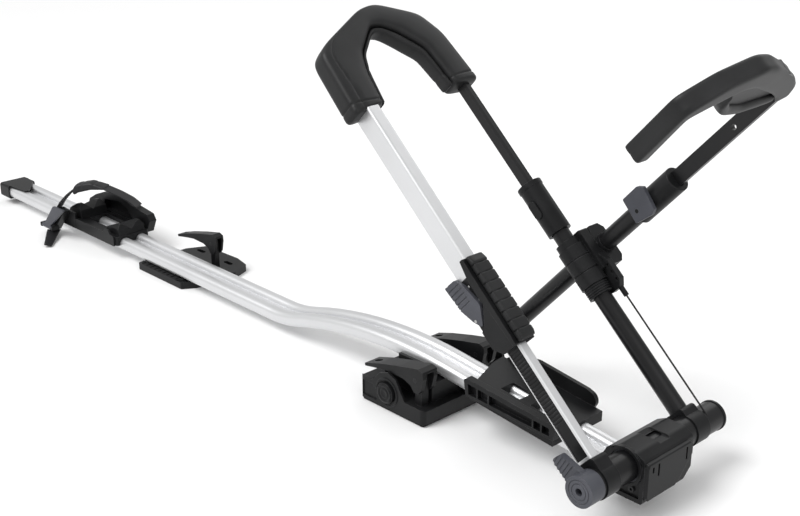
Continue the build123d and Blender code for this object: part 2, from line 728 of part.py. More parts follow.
def span(at, low, high, corner=0.0):
    """Rectangle between two corners."""
    with BuildSketch(at) as drawn:
        with Locations(((low[0] + high[0]) / 2, (low[1] + high[1]) / 2)):
            if corner:
                RectangleRounded(high[0] - low[0], high[1] - low[1], corner)
            else:
                Rectangle(high[0] - low[0], high[1] - low[1])
    return drawn.sketch


def keep(piece, name):
    piece.part.label = name
    export_step(piece.part, f"parts/{name}.step")


# Tray
rib_pitch = tray_width - rib_width
tray_front_z = hump_z - (tray_front_x - hump_x) * tan(radians(front_slope))
tray_points = [(tray_rear_x, tray_rear_z), (ramp_foot_x, tray_rear_z), (hump_x, hump_z),
               (tray_front_x, tray_front_z)]


def tray_section(at, grow, web, hollow):
    ribs = [(-rib_pitch / 2, 0), (rib_pitch / 2, 0)]
    with BuildSketch(at) as section:
        with Locations(*ribs):
            RectangleRounded(rib_width + 2 * grow, tray_height + 2 * grow, rib_radius + grow)
        Rectangle(rib_pitch, web + 2 * grow)
        if hollow:
            with Locations(*ribs):
                RectangleRounded(rib_width - 2 * tray_wall, tray_height - 2 * tray_wall,
                                 rib_radius - tray_wall, mode=Mode.SUBTRACT)
    return section.sketch


def tray_sweep(grow, hollow):
    with BuildPart() as swept:
        with BuildLine(Plane.XZ) as path:
            FilletPolyline(*tray_points, radius=[ramp_foot_radius, hump_radius])
        section = tray_section(across(tray_rear_x, tray_rear_z), grow, web_thickness, hollow)
        sweep(sections=section, path=path.line)
    return swept


tray_rail = tray_sweep(0.0, True)
keep(tray_rail, "tray_rail")
tray_space = tray_sweep(seat_gap, False)
slide_space = tray_sweep(sliding_clearance, False)

with BuildPart() as rear_end_cap:
    tongue_low = tray_rear_z + tray_height / 2 + seat_gap
    tongue_high = tongue_low + end_cap_tongue_thickness
    extrude(span(across(end_cap_rear_x), (-end_cap_half, end_cap_low), (end_cap_half, tongue_high), end_cap_corner),
            amount=end_cap_front_x - end_cap_rear_x)
    extrude(shape(floor(tongue_low), end_tongue_outline, edge_round), amount=end_cap_tongue_thickness)
    add(tray_space.part, mode=Mode.SUBTRACT)
keep(rear_end_cap, "rear_end_cap")

# Front foot: pad, body, saddle
with BuildPart() as front_foot_pad:
    extrude(span(floor(0), (foot_rear_x + foot_pad_inset, foot_near_y + foot_pad_inset),
                 (foot_front_x - foot_pad_inset, foot_far_y - foot_pad_inset), edge_round),
            amount=foot_pad_thickness)
keep(front_foot_pad, "front_foot_pad")

with BuildPart() as front_foot_body:
    extrude(shape(side(foot_far_y), floor_outline), amount=foot_far_y - foot_near_y)
    extrude(shape(side(foot_near_y + foot_cheek), cheek_outline), amount=foot_cheek)
    extrude(shape(side(foot_far_y), cheek_outline), amount=foot_cheek)
    extrude(span(floor(foot_pad_thickness), (foot_rear_x, foot_near_y), (foot_front_x, foot_far_y), foot_corner),
            amount=foot_cheek_height, mode=Mode.INTERSECT)
    extrude(shape(side(foot_near_y + foot_pocket_depth), foot_pocket_outline, edge_round), amount=foot_pocket_depth,
            mode=Mode.SUBTRACT)
    extrude(span(floor(foot_pad_thickness), (-foot_tower_half_x, foot_tower[0]),
                 (foot_tower_half_x, foot_tower[1]), edge_round), amount=foot_tower_top - foot_pad_thickness)
    for post_y in (-lever_y, lever_y):
        post_at = side(post_y + lever_post_width / 2)
        extrude(span(post_at, (lever_pivot_x - lever_post_half, foot_pad_thickness),
                     (lever_pivot_x + lever_post_half, lever_pivot_z)), amount=lever_post_width)
        pin_at = Plane(origin=(lever_pivot_x, post_y + lever_post_width / 2, lever_pivot_z), x_dir=(1, 0, 0),
                       z_dir=(0, -1, 0))
        extrude(disc(pin_at, lever_post_half), amount=lever_post_width)
        extrude(disc(pin_at, lever_pin_radius), amount=lever_post_width, mode=Mode.SUBTRACT)
    knob_at = Plane(origin=(knob_x, foot_near_y, knob_z), x_dir=(1, 0, 0), z_dir=(0, -1, 0))
    extrude(disc(knob_at, knob_boss_radius), amount=-(knob_axle_length + foot_wall))
    extrude(disc(knob_at, knob_band[0], knob_band[1]), amount=knob_band_height)
    extrude(disc(knob_at, knob_recess_radius), amount=-knob_recess_depth, mode=Mode.SUBTRACT)
    extrude(disc(knob_at, knob_axle_radius + running_clearance), amount=-knob_axle_length - running_clearance,
            mode=Mode.SUBTRACT)
    # hollow from below, leaving walls
    extrude(span(floor(foot_pad_thickness), (-foot_tower_half_x + foot_wall, foot_tower[0] + foot_wall),
                 (foot_tower_half_x - foot_wall, -foot_wall / 2)), amount=foot_tower_top - foot_wall * 3,
            mode=Mode.SUBTRACT)
    extrude(span(floor(foot_pad_thickness), (-foot_tower_half_x + foot_wall, foot_wall / 2),
                 (foot_tower_half_x - foot_wall, foot_tower[1] - foot_wall)),
            amount=foot_tower_top - foot_wall * 3, mode=Mode.SUBTRACT)
keep(front_foot_body, "front_foot_body")

with BuildPart() as front_foot_saddle:
    extrude(span(floor(foot_tower_top), (-saddle_half_x, -saddle_half_y), (saddle_half_x, saddle_half_y),
                 edge_round), amount=saddle_top - foot_tower_top)
    add(tray_space.part, mode=Mode.SUBTRACT)
keep(front_foot_saddle, "front_foot_saddle")

with BuildPart() as front_foot_knob:
    extrude(disc(knob_at, knob_radius), amount=knob_thickness)
    extrude(disc(knob_at, knob_radius), amount=-(knob_recess_depth - running_clearance))
    fillet(front_foot_knob.faces().sort_by(Axis.Y)[0].edges(), edge_round)
    for turn in (-1, 1):
        with Locations(Location((knob_x + turn * knob_radius / 2, foot_near_y - knob_thickness, knob_z))):
            Box(knob_radius - knob_grip_width, knob_grip_depth * 2, knob_radius, mode=Mode.SUBTRACT)
    extrude(disc(knob_at, knob_axle_radius), amount=-knob_axle_length)
keep(front_foot_knob, "front_foot_knob")


# Clamp levers and their pins
def lever_side(shift_x, y, shift_z):
    return Plane(origin=(shift_x, y, shift_z), x_dir=(1, 0, 0), z_dir=(0, -1, 0))


def clamp_lever(shift_x, y, shift_z, width, fork):
    with BuildPart() as lever:
        extrude(shape(lever_side(shift_x, y + width / 2, shift_z), lever_outline, edge_round), amount=width)
        extrude(shape(lever_side(shift_x, y + fork / 2, shift_z), lever_slot_outline), amount=fork,
                mode=Mode.SUBTRACT)
        bore_at = lever_side(lever_pivot_x + shift_x, y + width / 2, lever_pivot_z + shift_z)
        extrude(disc(bore_at, lever_pin_radius + running_clearance), amount=width, mode=Mode.SUBTRACT)
        with BuildSketch(Plane(origin=(lever_hole_x + shift_x, y, lever_pivot_z + shift_z + cut_overrun))):
            SlotOverall(lever_hole[0], lever_hole[1])
        extrude(amount=-lever_width, mode=Mode.SUBTRACT)
    return lever


def lever_pin(shift_x, y, shift_z, width):
    at = lever_side(lever_pivot_x + shift_x, y + width / 2, lever_pivot_z + shift_z)
    return extrude(disc(at, lever_pin_radius), amount=width, mode=Mode.PRIVATE)


front_lever_near = clamp_lever(0.0, -lever_y, 0.0, lever_width, lever_fork)
keep(front_lever_near, "front_lever_near")
front_lever_far = clamp_lever(0.0, lever_y, 0.0, lever_width, lever_fork)
keep(front_lever_far, "front_lever_far")
with BuildPart() as front_lever_pins:
    add(lever_pin(0.0, -lever_y, 0.0, lever_width))
    add(lever_pin(0.0, lever_y, 0.0, lever_width))
keep(front_lever_pins, "front_lever_pins")

# Rear foot: plate, saddle, ribbed pad, post and lever
with BuildPart() as rear_foot_plate:
    extrude(shape(floor(0), rear_plate_outline, edge_round * 3), amount=rear_foot_plate_z)
    with BuildSketch(floor(0)):
        with Locations((rear_slot_x[0], rear_slot_y), (rear_slot_x[1], rear_slot_y)):
            SlotOverall(rear_slot_length, 2 * rear_slot_radius)
    extrude(amount=rear_foot_plate_z, mode=Mode.SUBTRACT)
    rear_pivot = (lever_pivot_x + rear_lever_shift_x, lever_pivot_z - rear_lever_drop)
    post_at = side(rear_lever_y + rear_post_width / 2)
    extrude(span(post_at, (rear_pivot[0] - lever_post_half, 0), (rear_pivot[0] + lever_post_half, rear_pivot[1])),
            amount=rear_post_width)
    pin_at = lever_side(rear_pivot[0], rear_lever_y + rear_post_width / 2, rear_pivot[1])
    extrude(disc(pin_at, lever_post_half), amount=rear_post_width)
    extrude(disc(pin_at, lever_pin_radius), amount=rear_post_width, mode=Mode.SUBTRACT)
keep(rear_foot_plate, "rear_foot_plate")

with BuildPart() as rear_foot_saddle:
    extrude(span(floor(rear_foot_plate_z), (rear_saddle_x[0], -rear_saddle_half),
                 (rear_saddle_x[1], rear_saddle_half), edge_round), amount=rear_saddle_top - rear_foot_plate_z)
    add(slide_space.part, mode=Mode.SUBTRACT)
keep(rear_foot_saddle, "rear_foot_saddle")

with BuildPart() as rear_foot_pad:
    extrude(shape(floor(rear_foot_plate_z), rear_pad_outline), amount=rear_pad_thickness)
    pad_rib_count = 9
    for number in range(pad_rib_count):
        rib_x = rear_pad_outline[0][0] + (number + 1) * rear_pad_rib_pitch
        extrude(span(floor(rear_foot_plate_z + rear_pad_thickness / 2),
                     (rib_x - rear_pad_rib_gap / 2, rear_pad_outline[1][1] - cut_overrun),
                     (rib_x + rear_pad_rib_gap / 2, rear_pad_outline[0][1])), amount=rear_pad_thickness,
                mode=Mode.SUBTRACT)
    add(rear_foot_saddle.part, mode=Mode.SUBTRACT)
keep(rear_foot_pad, "rear_foot_pad")

rear_lever = clamp_lever(rear_lever_shift_x, rear_lever_y, -rear_lever_drop, rear_lever_width, rear_lever_fork)
keep(rear_lever, "rear_lever")
with BuildPart() as rear_lever_pin:
    add(lever_pin(rear_lever_shift_x, rear_lever_y, -rear_lever_drop, rear_lever_width))
keep(rear_lever_pin, "rear_lever_pin")

# Rear cradle: saddle frame clipped round the tray, humps for the tyre
def wheel_hump(reach, width_outline, side_outline):
    """Hump with a dip for the tyre, hollow underneath."""
    with BuildPart() as hump:
        extrude(shape(across(reach[0]), width_outline, edge_round), amount=reach[1] - reach[0])
        extrude(shape(side(rear_cradle_half), side_outline, hump_round / 2), amount=2 * rear_cradle_half,
                mode=Mode.INTERSECT)
        hollow_half = width_outline[-1][0] - hump_wall
        extrude(span(floor(rear_cradle_top - hump_wall), (reach[0] + 2 * hump_wall, -hollow_half),
                     (reach[1] - 2 * hump_wall, hollow_half)),
                amount=hump_hollow_top - rear_cradle_top, mode=Mode.SUBTRACT)
    return hump


with BuildPart() as rear_cradle_frame:
    extrude(span(floor(rear_cradle_low), (rear_cradle_x[0], -rear_cradle_half),
                 (rear_cradle_x[1], rear_cradle_half), hump_round), amount=rear_cradle_top - rear_cradle_low)
    add(wheel_hump(rear_hump_x, rear_hump_outline, rear_hump_side).part)
    add(wheel_hump(front_hump_x, front_hump_outline, front_hump_side).part)
    extrude(span(floor(rear_cradle_low), rear_window_low, rear_window_high), amount=rear_cradle_top,
            mode=Mode.SUBTRACT)
    add(slide_space.part, mode=Mode.SUBTRACT)
    extrude(span(side(-rear_cradle_half), buckle_block[0], buckle_block[1], edge_round),
            amount=-buckle_body_y[1] - rear_cradle_half - seat_gap)
keep(rear_cradle_frame, "rear_cradle_frame")

with BuildPart() as rear_side_plate:
    extrude(shape(side(-rear_cradle_half - seat_gap), side_plate_outline, edge_round), amount=side_plate_thickness)
keep(rear_side_plate, "rear_side_plate")

with BuildPart() as rear_cradle_arch:
    extrude(shape(side(far_arch_y[1]), far_arch_outline, edge_round), amount=far_arch_y[1] - far_arch_y[0])
    extrude(shape(side(far_arch_y[1] - arch_skin), far_arch_hole, edge_round),
            amount=far_arch_y[1] - arch_skin - far_arch_y[0], mode=Mode.SUBTRACT)
keep(rear_cradle_arch, "rear_cradle_arch")

# Rear wheel strap, standing up as over a tyre
strap_plane = Plane(origin=(strap_root[0], strap_root[1], 0), x_dir=(strap_away_share[0], strap_away_share[1], 0),
                    z_dir=(strap_away_share[1], -strap_away_share[0], 0))


def ribbon(at, points, thickness):
    """Strap seen from its edge; the points run along its outer face."""
    with BuildSketch(at) as drawn:
        with BuildLine():
            Spline(*points)
            Line(points[-1], (points[-1][0], points[-1][1] - thickness))
            Spline(*[(along, up - thickness) for along, up in reversed(points)])
            Line((points[0][0], points[0][1] - thickness), points[0])
        make_face()
    return drawn.sketch


with BuildPart() as strap_band:
    extrude(ribbon(strap_plane, strap_top, strap_thickness), amount=strap_width / 2, both=True)
keep(strap_band, "strap_band")

with BuildPart() as strap_pad:
    extrude(shape(strap_plane, strap_pad_outline, edge_round * 2), amount=strap_pad_width / 2, both=True)
    add(strap_band.part, mode=Mode.SUBTRACT)
keep(strap_pad, "strap_pad")

# below the pad the strap runs into the buckle on the near side, and its end hangs out of it
tail_plane = Plane(origin=(tail_root[0], tail_root[1], 0), x_dir=(tail_away_share[0], tail_away_share[1], 0),
                   z_dir=(tail_away_share[1], -tail_away_share[0], 0))
with BuildPart() as strap_ladder:
    extrude(ribbon(strap_plane, strap_down, strap_thickness), amount=strap_width / 2, both=True)
    extrude(ribbon(tail_plane, strap_tail, strap_thickness), amount=strap_width / 2, both=True)
    add(strap_pad.part, mode=Mode.SUBTRACT)
keep(strap_ladder, "strap_ladder")

with BuildPart() as buckle_body:
    extrude(shape(side(buckle_body_y[1]), buckle_body_outline, edge_round),
            amount=buckle_body_y[1] - buckle_body_y[0])
    for ear_x in (buckle_barrel_x[0] - buckle_ear - pass_gap, buckle_barrel_x[1] + pass_gap):
        extrude(span(across(ear_x), (buckle_axis[0] - buckle_barrel_radius, buckle_axis[1] - buckle_barrel_radius),
                     (buckle_body_y[0] + buckle_ear, buckle_axis[1] + buckle_barrel_radius), edge_round),
                amount=buckle_ear)
    add(strap_ladder.part, mode=Mode.SUBTRACT)
    barrel_at = Plane(origin=(buckle_barrel_x[0] - pass_gap, buckle_axis[0], buckle_axis[1]), x_dir=(0, 1, 0),
                      z_dir=(1, 0, 0))
    extrude(disc(barrel_at, buckle_barrel_radius + pass_gap),
            amount=buckle_barrel_x[1] - buckle_barrel_x[0] + 2 * pass_gap, mode=Mode.SUBTRACT)
    extrude(disc(barrel_at, buckle_pin_radius), amount=buckle_barrel_x[1] - buckle_barrel_x[0] + 2 * pass_gap)
keep(buckle_body, "buckle_body")

with BuildPart() as buckle_lever:
    extrude(shape(side(buckle_lever_y[1]), buckle_lever_outline, edge_round),
            amount=buckle_lever_y[1] - buckle_lever_y[0])
    lever_barrel_at = Plane(origin=(buckle_barrel_x[0], buckle_axis[0], buckle_axis[1]), x_dir=(0, 1, 0),
                            z_dir=(1, 0, 0))
    extrude(disc(lever_barrel_at, buckle_barrel_radius), amount=buckle_barrel_x[1] - buckle_barrel_x[0])
    extrude(disc(lever_barrel_at, buckle_pin_radius + running_clearance),
            amount=buckle_barrel_x[1] - buckle_barrel_x[0], mode=Mode.SUBTRACT)
keep(buckle_lever, "buckle_lever")

# Front cradle: plate over the tray with two windows, wing on the far side, ribbed rail on the near side
with BuildPart() as front_cradle:
    extrude(shape(side(front_cradle_far_y), front_plate_outline), amount=front_cradle_far_y - front_cradle_near_y)
    extrude(shape(floor(0), front_plate_corner), amount=hinge_z + hump_z, mode=Mode.SUBTRACT)
    extrude(shape(side(front_cradle_far_y + wing_thickness), wing_outline, wing_rounds), amount=wing_thickness)
    for window in front_cradle_windows:
        extrude(span(floor(0), (window[0], -window_half), (window[1], window_half), edge_round),
                amount=hinge_z + hump_z, mode=Mode.SUBTRACT)
    add(tray_space.part, mode=Mode.SUBTRACT)
keep(front_cradle, "front_cradle")

with BuildPart() as front_cradle_rail:
    extrude(shape(side(front_rail_y[1]), front_rail_outline, edge_round), amount=front_rail_y[1] - front_rail_y[0])
    recess_depth = front_rail_y[1] - front_rail_y[0] - front_rail_wall
    with BuildPart(mode=Mode.PRIVATE) as recess:
        extrude(shape(side(front_rail_y[0] + recess_depth), front_rail_recess), amount=recess_depth)
        for rib_x in front_rail_ribs:
            extrude(span(side(front_rail_y[0] + recess_depth), (rib_x, 0),
                         (rib_x + front_rail_rib_width, hinge_z + hump_z)), amount=recess_depth,
                    mode=Mode.SUBTRACT)
    add(recess.part, mode=Mode.SUBTRACT)
keep(front_cradle_rail, "front_cradle_rail")

# Base housing round the hinge
hinge_hole_at = Plane(origin=(hinge_x, housing_half, hinge_z), x_dir=(1, 0, 0), z_dir=(0, -1, 0))
with BuildPart() as base_housing:
    extrude(shape(side(housing_half), housing_outline, housing_rounds), amount=2 * housing_half)
    extrude(shape(across(housing_outline[0][0] - cut_overrun), saddle_dip_outline),
            amount=housing_outline[-1][0] - housing_outline[0][0] + 2 * cut_overrun, mode=Mode.SUBTRACT)
    extrude(shape(across(housing_outline[0][0] - cut_overrun), housing_cut),
            amount=housing_outline[-1][0] - housing_outline[0][0] + 2 * cut_overrun, mode=Mode.SUBTRACT)
    rim_at = Plane(origin=(hinge_x, -housing_half, hinge_z), x_dir=(1, 0, 0), z_dir=(0, -1, 0))
    extrude(disc(hinge_hole_at, hinge_tube_radius + bush_wall), amount=2 * housing_half, mode=Mode.SUBTRACT)
    extrude(shape(side(-housing_half + housing_recess), side_opening_outline, edge_round), amount=housing_recess,
            mode=Mode.SUBTRACT)
    extrude(disc(rim_at, housing_rim[0], hinge_tube_radius + bush_wall), amount=housing_rim[1])
    extrude(disc(rim_at, housing_rim[0], hinge_tube_radius + bush_wall), amount=-housing_recess)
    add(tray_space.part, mode=Mode.SUBTRACT)
keep(base_housing, "base_housing")

with BuildPart() as base_screws:
    for screw_x, screw_z in base_screw_points:
        screw_at = Plane(origin=(screw_x, -housing_half + housing_recess, screw_z), x_dir=(1, 0, 0), z_dir=(0, -1, 0))
        extrude(disc(screw_at, base_screw_radius, base_screw_socket), amount=base_screw_length)
keep(base_screws, "base_screws")

with BuildPart() as base_bushes:
    for bush_y in (housing_half, -housing_half + bush_length):
        bush_at = Plane(origin=(hinge_x, bush_y, hinge_z), x_dir=(1, 0, 0), z_dir=(0, -1, 0))
        extrude(disc(bush_at, hinge_tube_radius + bush_wall, hinge_tube_radius + running_clearance),
                amount=bush_length)
keep(base_bushes, "base_bushes")

with BuildPart() as base_front_cover:
    cover_at = across(housing_outline[-1][0] + cover_gap)
    extrude(shape(cover_at, cover_outline, edge_round * 2), amount=cover_thickness, taper=cover_taper)
    fillet(base_front_cover.faces().sort_by(Axis.X)[-1].edges(), cover_round)
    cover_face_x = housing_outline[-1][0] + cover_gap + cover_thickness
    for clip_y, clip_z in clip_points:
        with Locations(Location((cover_face_x, clip_y, clip_z))):
            Box(cover_thickness, cover_clip[0], cover_clip[1], mode=Mode.SUBTRACT)
    with Locations(Location((cover_face_x, short_clip[0], short_clip[1]))):
        Box(cover_thickness, cover_clip[0], cover_clip[1] * short_clip_share, mode=Mode.SUBTRACT)
keep(base_front_cover, "base_front_cover")

# Hinge tube and the caps on its ends
hinge_at = Plane(origin=(hinge_x, hinge_far_y, hinge_z), x_dir=(1, 0, 0), z_dir=(0, -1, 0))
with BuildPart() as hinge_tube:
    extrude(disc(hinge_at, hinge_tube_radius, hinge_tube_radius - hinge_tube_wall),
            amount=hinge_far_y - hinge_near_y)
keep(hinge_tube, "hinge_tube")

with BuildPart() as far_end_cap:
    extrude(disc(hinge_at, far_cap_radius), amount=-far_cap_length)
    extrude(disc(hinge_at, hinge_tube_radius - hinge_tube_wall - running_clearance), amount=far_cap_length)
    fillet(far_end_cap.faces().sort_by(Axis.Y)[-1].edges(), edge_round * 2)
    groove_at = Plane(origin=(hinge_x, hinge_far_y + far_cap_length, hinge_z), x_dir=(1, 0, 0), z_dir=(0, -1, 0))
    extrude(disc(groove_at, far_cap_ring[0], far_cap_ring[1]), amount=edge_round, mode=Mode.SUBTRACT)
keep(far_end_cap, "far_end_cap")

near_end_at = Plane(origin=(hinge_x, hinge_near_y - seat_gap * 3, hinge_z), x_dir=(1, 0, 0), z_dir=(0, -1, 0))
with BuildPart() as fold_lever:
    extrude(disc(near_end_at, fold_cap_radius), amount=fold_cap_length)
    extrude(disc(near_end_at, fold_spigot_radius), amount=-fold_spigot_length)
    paddle_at = side(hinge_near_y - seat_gap * 3 - fold_paddle_inset)
    extrude(shape(paddle_at, cap_outline, cap_rounds), amount=fold_paddle_width)
    paddle_near_y = hinge_near_y - seat_gap * 3 - fold_paddle_inset - fold_paddle_width
    paddle_rib_at = Plane(origin=(hinge_x, paddle_near_y + fold_rib_depth, hinge_z),
                          x_dir=(-cos(radians(fold_paddle_lean)), 0, sin(radians(fold_paddle_lean))),
                          z_dir=(0, -1, 0))
    for number in range(fold_rib_count):
        rib_along = fold_rib_start + number * fold_rib_pitch
        extrude(span(paddle_rib_at, (rib_along, -fold_cap_radius), (rib_along + fold_rib_width, fold_cap_radius)),
                amount=fold_rib_depth, mode=Mode.SUBTRACT)
    far_face_at = Plane(origin=(hinge_x, hinge_near_y - seat_gap * 3 - fold_cap_length, hinge_z),
                        x_dir=(1, 0, 0), z_dir=(0, -1, 0))
    extrude(disc(far_face_at, fold_hole_radius), amount=-fold_hole_depth, mode=Mode.SUBTRACT)
    for ring in fold_cap_rings:
        extrude(disc(far_face_at, ring[0], ring[1]), amount=-fold_ring_depth, mode=Mode.SUBTRACT)
keep(fold_lever, "fold_lever")


# Sockets holding the legs on the hinge tube
def leg_socket(at_y, off, pocket):
    with BuildPart() as socket:
        low_at = beside_leg(at_y[0])
        extrude(span(low_at, (-socket_foot, off[0]), (socket_top, off[1]), socket_round),
                amount=at_y[1] - at_y[0])
        extrude(disc(low_at, socket_ring_radius), amount=at_y[1] - at_y[0])
        extrude(disc(low_at, hinge_tube_radius), amount=at_y[1] - at_y[0], mode=Mode.SUBTRACT)
        extrude(pocket, amount=socket_top, mode=Mode.SUBTRACT)
    return socket


near_leg_socket = leg_socket(near_socket_y, near_socket_off,
                             oblong(across_leg(rail_low, near_leg_y), rail_width, rail_depth, rail_corner_radius))
keep(near_leg_socket, "near_leg_socket")
far_leg_socket = leg_socket(far_socket_y, far_socket_off,
                            disc(across_leg(rail_low, far_leg_y, far_leg_off), far_tube_radius))
keep(far_leg_socket, "far_leg_socket")

# Near leg: rail, rack, upper tube
with BuildPart() as near_rail:
    extrude(oblong(across_leg(rail_low, near_leg_y), rail_width, rail_depth, rail_corner_radius, rail_wall),
            amount=rail_high - rail_low)
    rack_face_y = near_leg_y - rail_depth / 2
    extrude(oblong(across_leg(rack_low, rack_face_y), rack_width, 2 * rack_depth), amount=rail_high - rack_low,
            mode=Mode.SUBTRACT)
keep(near_rail, "near_rail")

with BuildPart() as rack_insert:
    extrude(oblong(across_leg(rack_low, rack_face_y + rack_depth * 3 / 4), rack_width, rack_depth / 2),
            amount=rail_high - rack_low)
    rack_floor_y = rack_face_y + rack_depth / 2
    for number in range(rack_tooth_count):
        start = rack_tooth_low + number * rack_tooth_pitch
        tooth_points = [(start, rack_floor_y + edge_round / 2), (start, rack_floor_y),
                        (start + rack_tooth_pitch / 2, rack_floor_y - rack_tooth_height),
                        (start + rack_tooth_pitch * 3 / 4, rack_floor_y - rack_tooth_height),
                        (start + rack_tooth_pitch * 4 / 5, rack_floor_y),
                        (start + rack_tooth_pitch * 4 / 5, rack_floor_y + edge_round / 2)]
        extrude(shape(facing_leg(rack_width / 2), tooth_points), amount=rack_width)
keep(rack_insert, "rack_insert")

with BuildPart() as near_upper_tube:
    with BuildSketch(across_leg(upper_tube_low, near_leg_y)):
        RectangleRounded(upper_tube_width, upper_tube_depth, tube_corner_radius)
        RectangleRounded(upper_tube_width - 2 * upper_tube_wall, upper_tube_depth - 2 * upper_tube_wall,
                         rail_corner_radius, mode=Mode.SUBTRACT)
    extrude(amount=upper_tube_high - upper_tube_low)
    pawl_low = (pawl_along[0] - seat_gap, -pawl_half - seat_gap)
    pawl_high = (pawl_along[1] + seat_gap, pawl_half + seat_gap)
    extrude(span(beside_leg(near_leg_y - upper_tube_depth / 2 - cut_overrun), pawl_low, pawl_high),
            amount=upper_tube_wall + cut_overrun + edge_round, mode=Mode.SUBTRACT)
keep(near_upper_tube, "near_upper_tube")

# Far leg: tube, sleeve, push tab, rod
with BuildPart() as far_tube:
    extrude(disc(across_leg(rail_low, far_leg_y, far_leg_off), far_tube_radius, far_tube_bore),
            amount=far_tube_high - rail_low)
keep(far_tube, "far_tube")

tab_at = Plane(origin=hinge_centre + leg_up * (far_sleeve_low + tab_along) + leg_off * far_leg_off
               + Vector(0, far_leg_y - far_sleeve_radius, 0), x_dir=leg_up, z_dir=(0, -1, 0))


def push_tab_face(at, grow):
    with BuildSketch(at) as drawn:
        RectangleRounded(tab_length + 2 * grow, tab_width + 2 * grow, tab_corner + grow)
    return drawn.sketch


with BuildPart() as far_sleeve:
    extrude(disc(across_leg(far_sleeve_low, far_leg_y, far_leg_off), far_sleeve_radius,
                 far_tube_radius), amount=far_sleeve_high - far_sleeve_low)
    extrude(disc(across_leg(far_sleeve_high - sleeve_band_length, far_leg_y, far_leg_off), sleeve_band_radius,
                 far_tube_radius), amount=sleeve_band_length)
    fillet(far_sleeve.edges().filter_by(GeomType.CIRCLE).group_by(SortBy.RADIUS)[-1], edge_round / 2)
    extrude(push_tab_face(tab_at, sliding_clearance), amount=-tab_depth, mode=Mode.SUBTRACT)
keep(far_sleeve, "far_sleeve")

with BuildPart() as sleeve_push_tab:
    extrude(push_tab_face(tab_at, 0), amount=tab_proud)
    extrude(push_tab_face(tab_at, 0), amount=-(tab_depth - tab_travel - seat_gap))
keep(sleeve_push_tab, "sleeve_push_tab")

# the far rod runs on as the bent core inside the hoop's pad
with BuildPart() as far_rod:
    with BuildSketch(across_leg(far_rod_low, far_leg_y, far_leg_off)) as rod_section:
        Rectangle(far_rod_width, far_rod_depth)
        chamfer(rod_section.vertices(), far_rod_facet)
    extrude(amount=upper_tube_high + far_rod_overlap - far_rod_low)
    with BuildLine(facing_leg(pad_middle_off)) as core_line:
        FilletPolyline(*core_path, radius=core_bend)
    sweep(sections=disc(across_leg(core_path[0][0], near_leg_y, pad_middle_off), core_radius), path=core_line.line)
keep(far_rod, "far_rod")

with BuildPart() as primary_pad:
    extrude(band(facing_leg(pad_middle_off), pad_outer, pad_inner, pad_outer_rounds, pad_inner_rounds),
            amount=pad_width / 2, both=True, taper=pad_taper)
    pad_faces = primary_pad.faces().sort_by(Axis(hinge_centre, leg_off))
    fillet(pad_faces[-1].edges(), pad_round)
    pad_faces = primary_pad.faces().sort_by(Axis(hinge_centre, leg_off))
    fillet(pad_faces[0].edges(), pad_round)
    add(far_rod.part, mode=Mode.SUBTRACT)
    extrude(oblong(across_leg(upper_tube_low, near_leg_y), upper_tube_width, upper_tube_depth, tube_corner_radius),
            amount=upper_tube_high - upper_tube_low, mode=Mode.SUBTRACT)
keep(primary_pad, "primary_pad")

with BuildPart() as pad_lip:
    extrude(band(facing_leg(pad_middle_off), lip_outer, lip_inner, pad_inner_rounds, lip_inner_rounds),
            amount=lip_width / 2, both=True)
    add(primary_pad.part, mode=Mode.SUBTRACT)
keep(pad_lip, "pad_lip")

# Ratchet handle: body, grip, release lever, pawl
with BuildPart() as handle_body:
    extrude(shape(beside_leg(handle_y[0]), handle_outline, edge_round), amount=handle_y[1] - handle_y[0])
    extrude(oblong(across_leg(handle_outline[0][0] - cut_overrun, near_leg_y), upper_tube_width, upper_tube_depth,
                   tube_corner_radius), amount=upper_tube_high, mode=Mode.SUBTRACT)
    extrude(span(beside_leg(handle_y[0] + handle_wall), pawl_low, pawl_high), amount=upper_tube_depth / 2,
            mode=Mode.SUBTRACT)
    extrude(shape(beside_leg(handle_y[0] - handle_rim_height), handle_rim_outline, edge_round),
            amount=handle_rim_height)
    lug_at = beside_leg(lever_lug_y[0])
    extrude(span(lug_at, lever_lug_low, (lever_pivot_along, lever_lug_off)), amount=lever_lug_y[1] - lever_lug_y[0])
    lever_pivot_at = Plane(origin=hinge_centre + leg_up * lever_pivot_along + leg_off * lever_pivot_off
                           + Vector(0, handle_y[0], 0), x_dir=leg_up, z_dir=(0, 1, 0))
    lug_pivot_at = Plane(origin=lever_pivot_at.origin + Vector(0, lever_lug_y[0] - handle_y[0], 0), x_dir=leg_up,
                         z_dir=(0, 1, 0))
    extrude(disc(lug_pivot_at, lever_lug_radius), amount=lever_lug_y[1] - lever_lug_y[0])
    extrude(oblong(across_leg(handle_outline[0][0] - cut_overrun, near_leg_y), upper_tube_width + 2 * seat_gap,
                   upper_tube_depth, tube_corner_radius), amount=upper_tube_high, mode=Mode.SUBTRACT)
    extrude(disc(lug_pivot_at, handle_pin_radius), amount=lever_lug_y[1] - lever_lug_y[0], mode=Mode.SUBTRACT)
keep(handle_body, "handle_body")

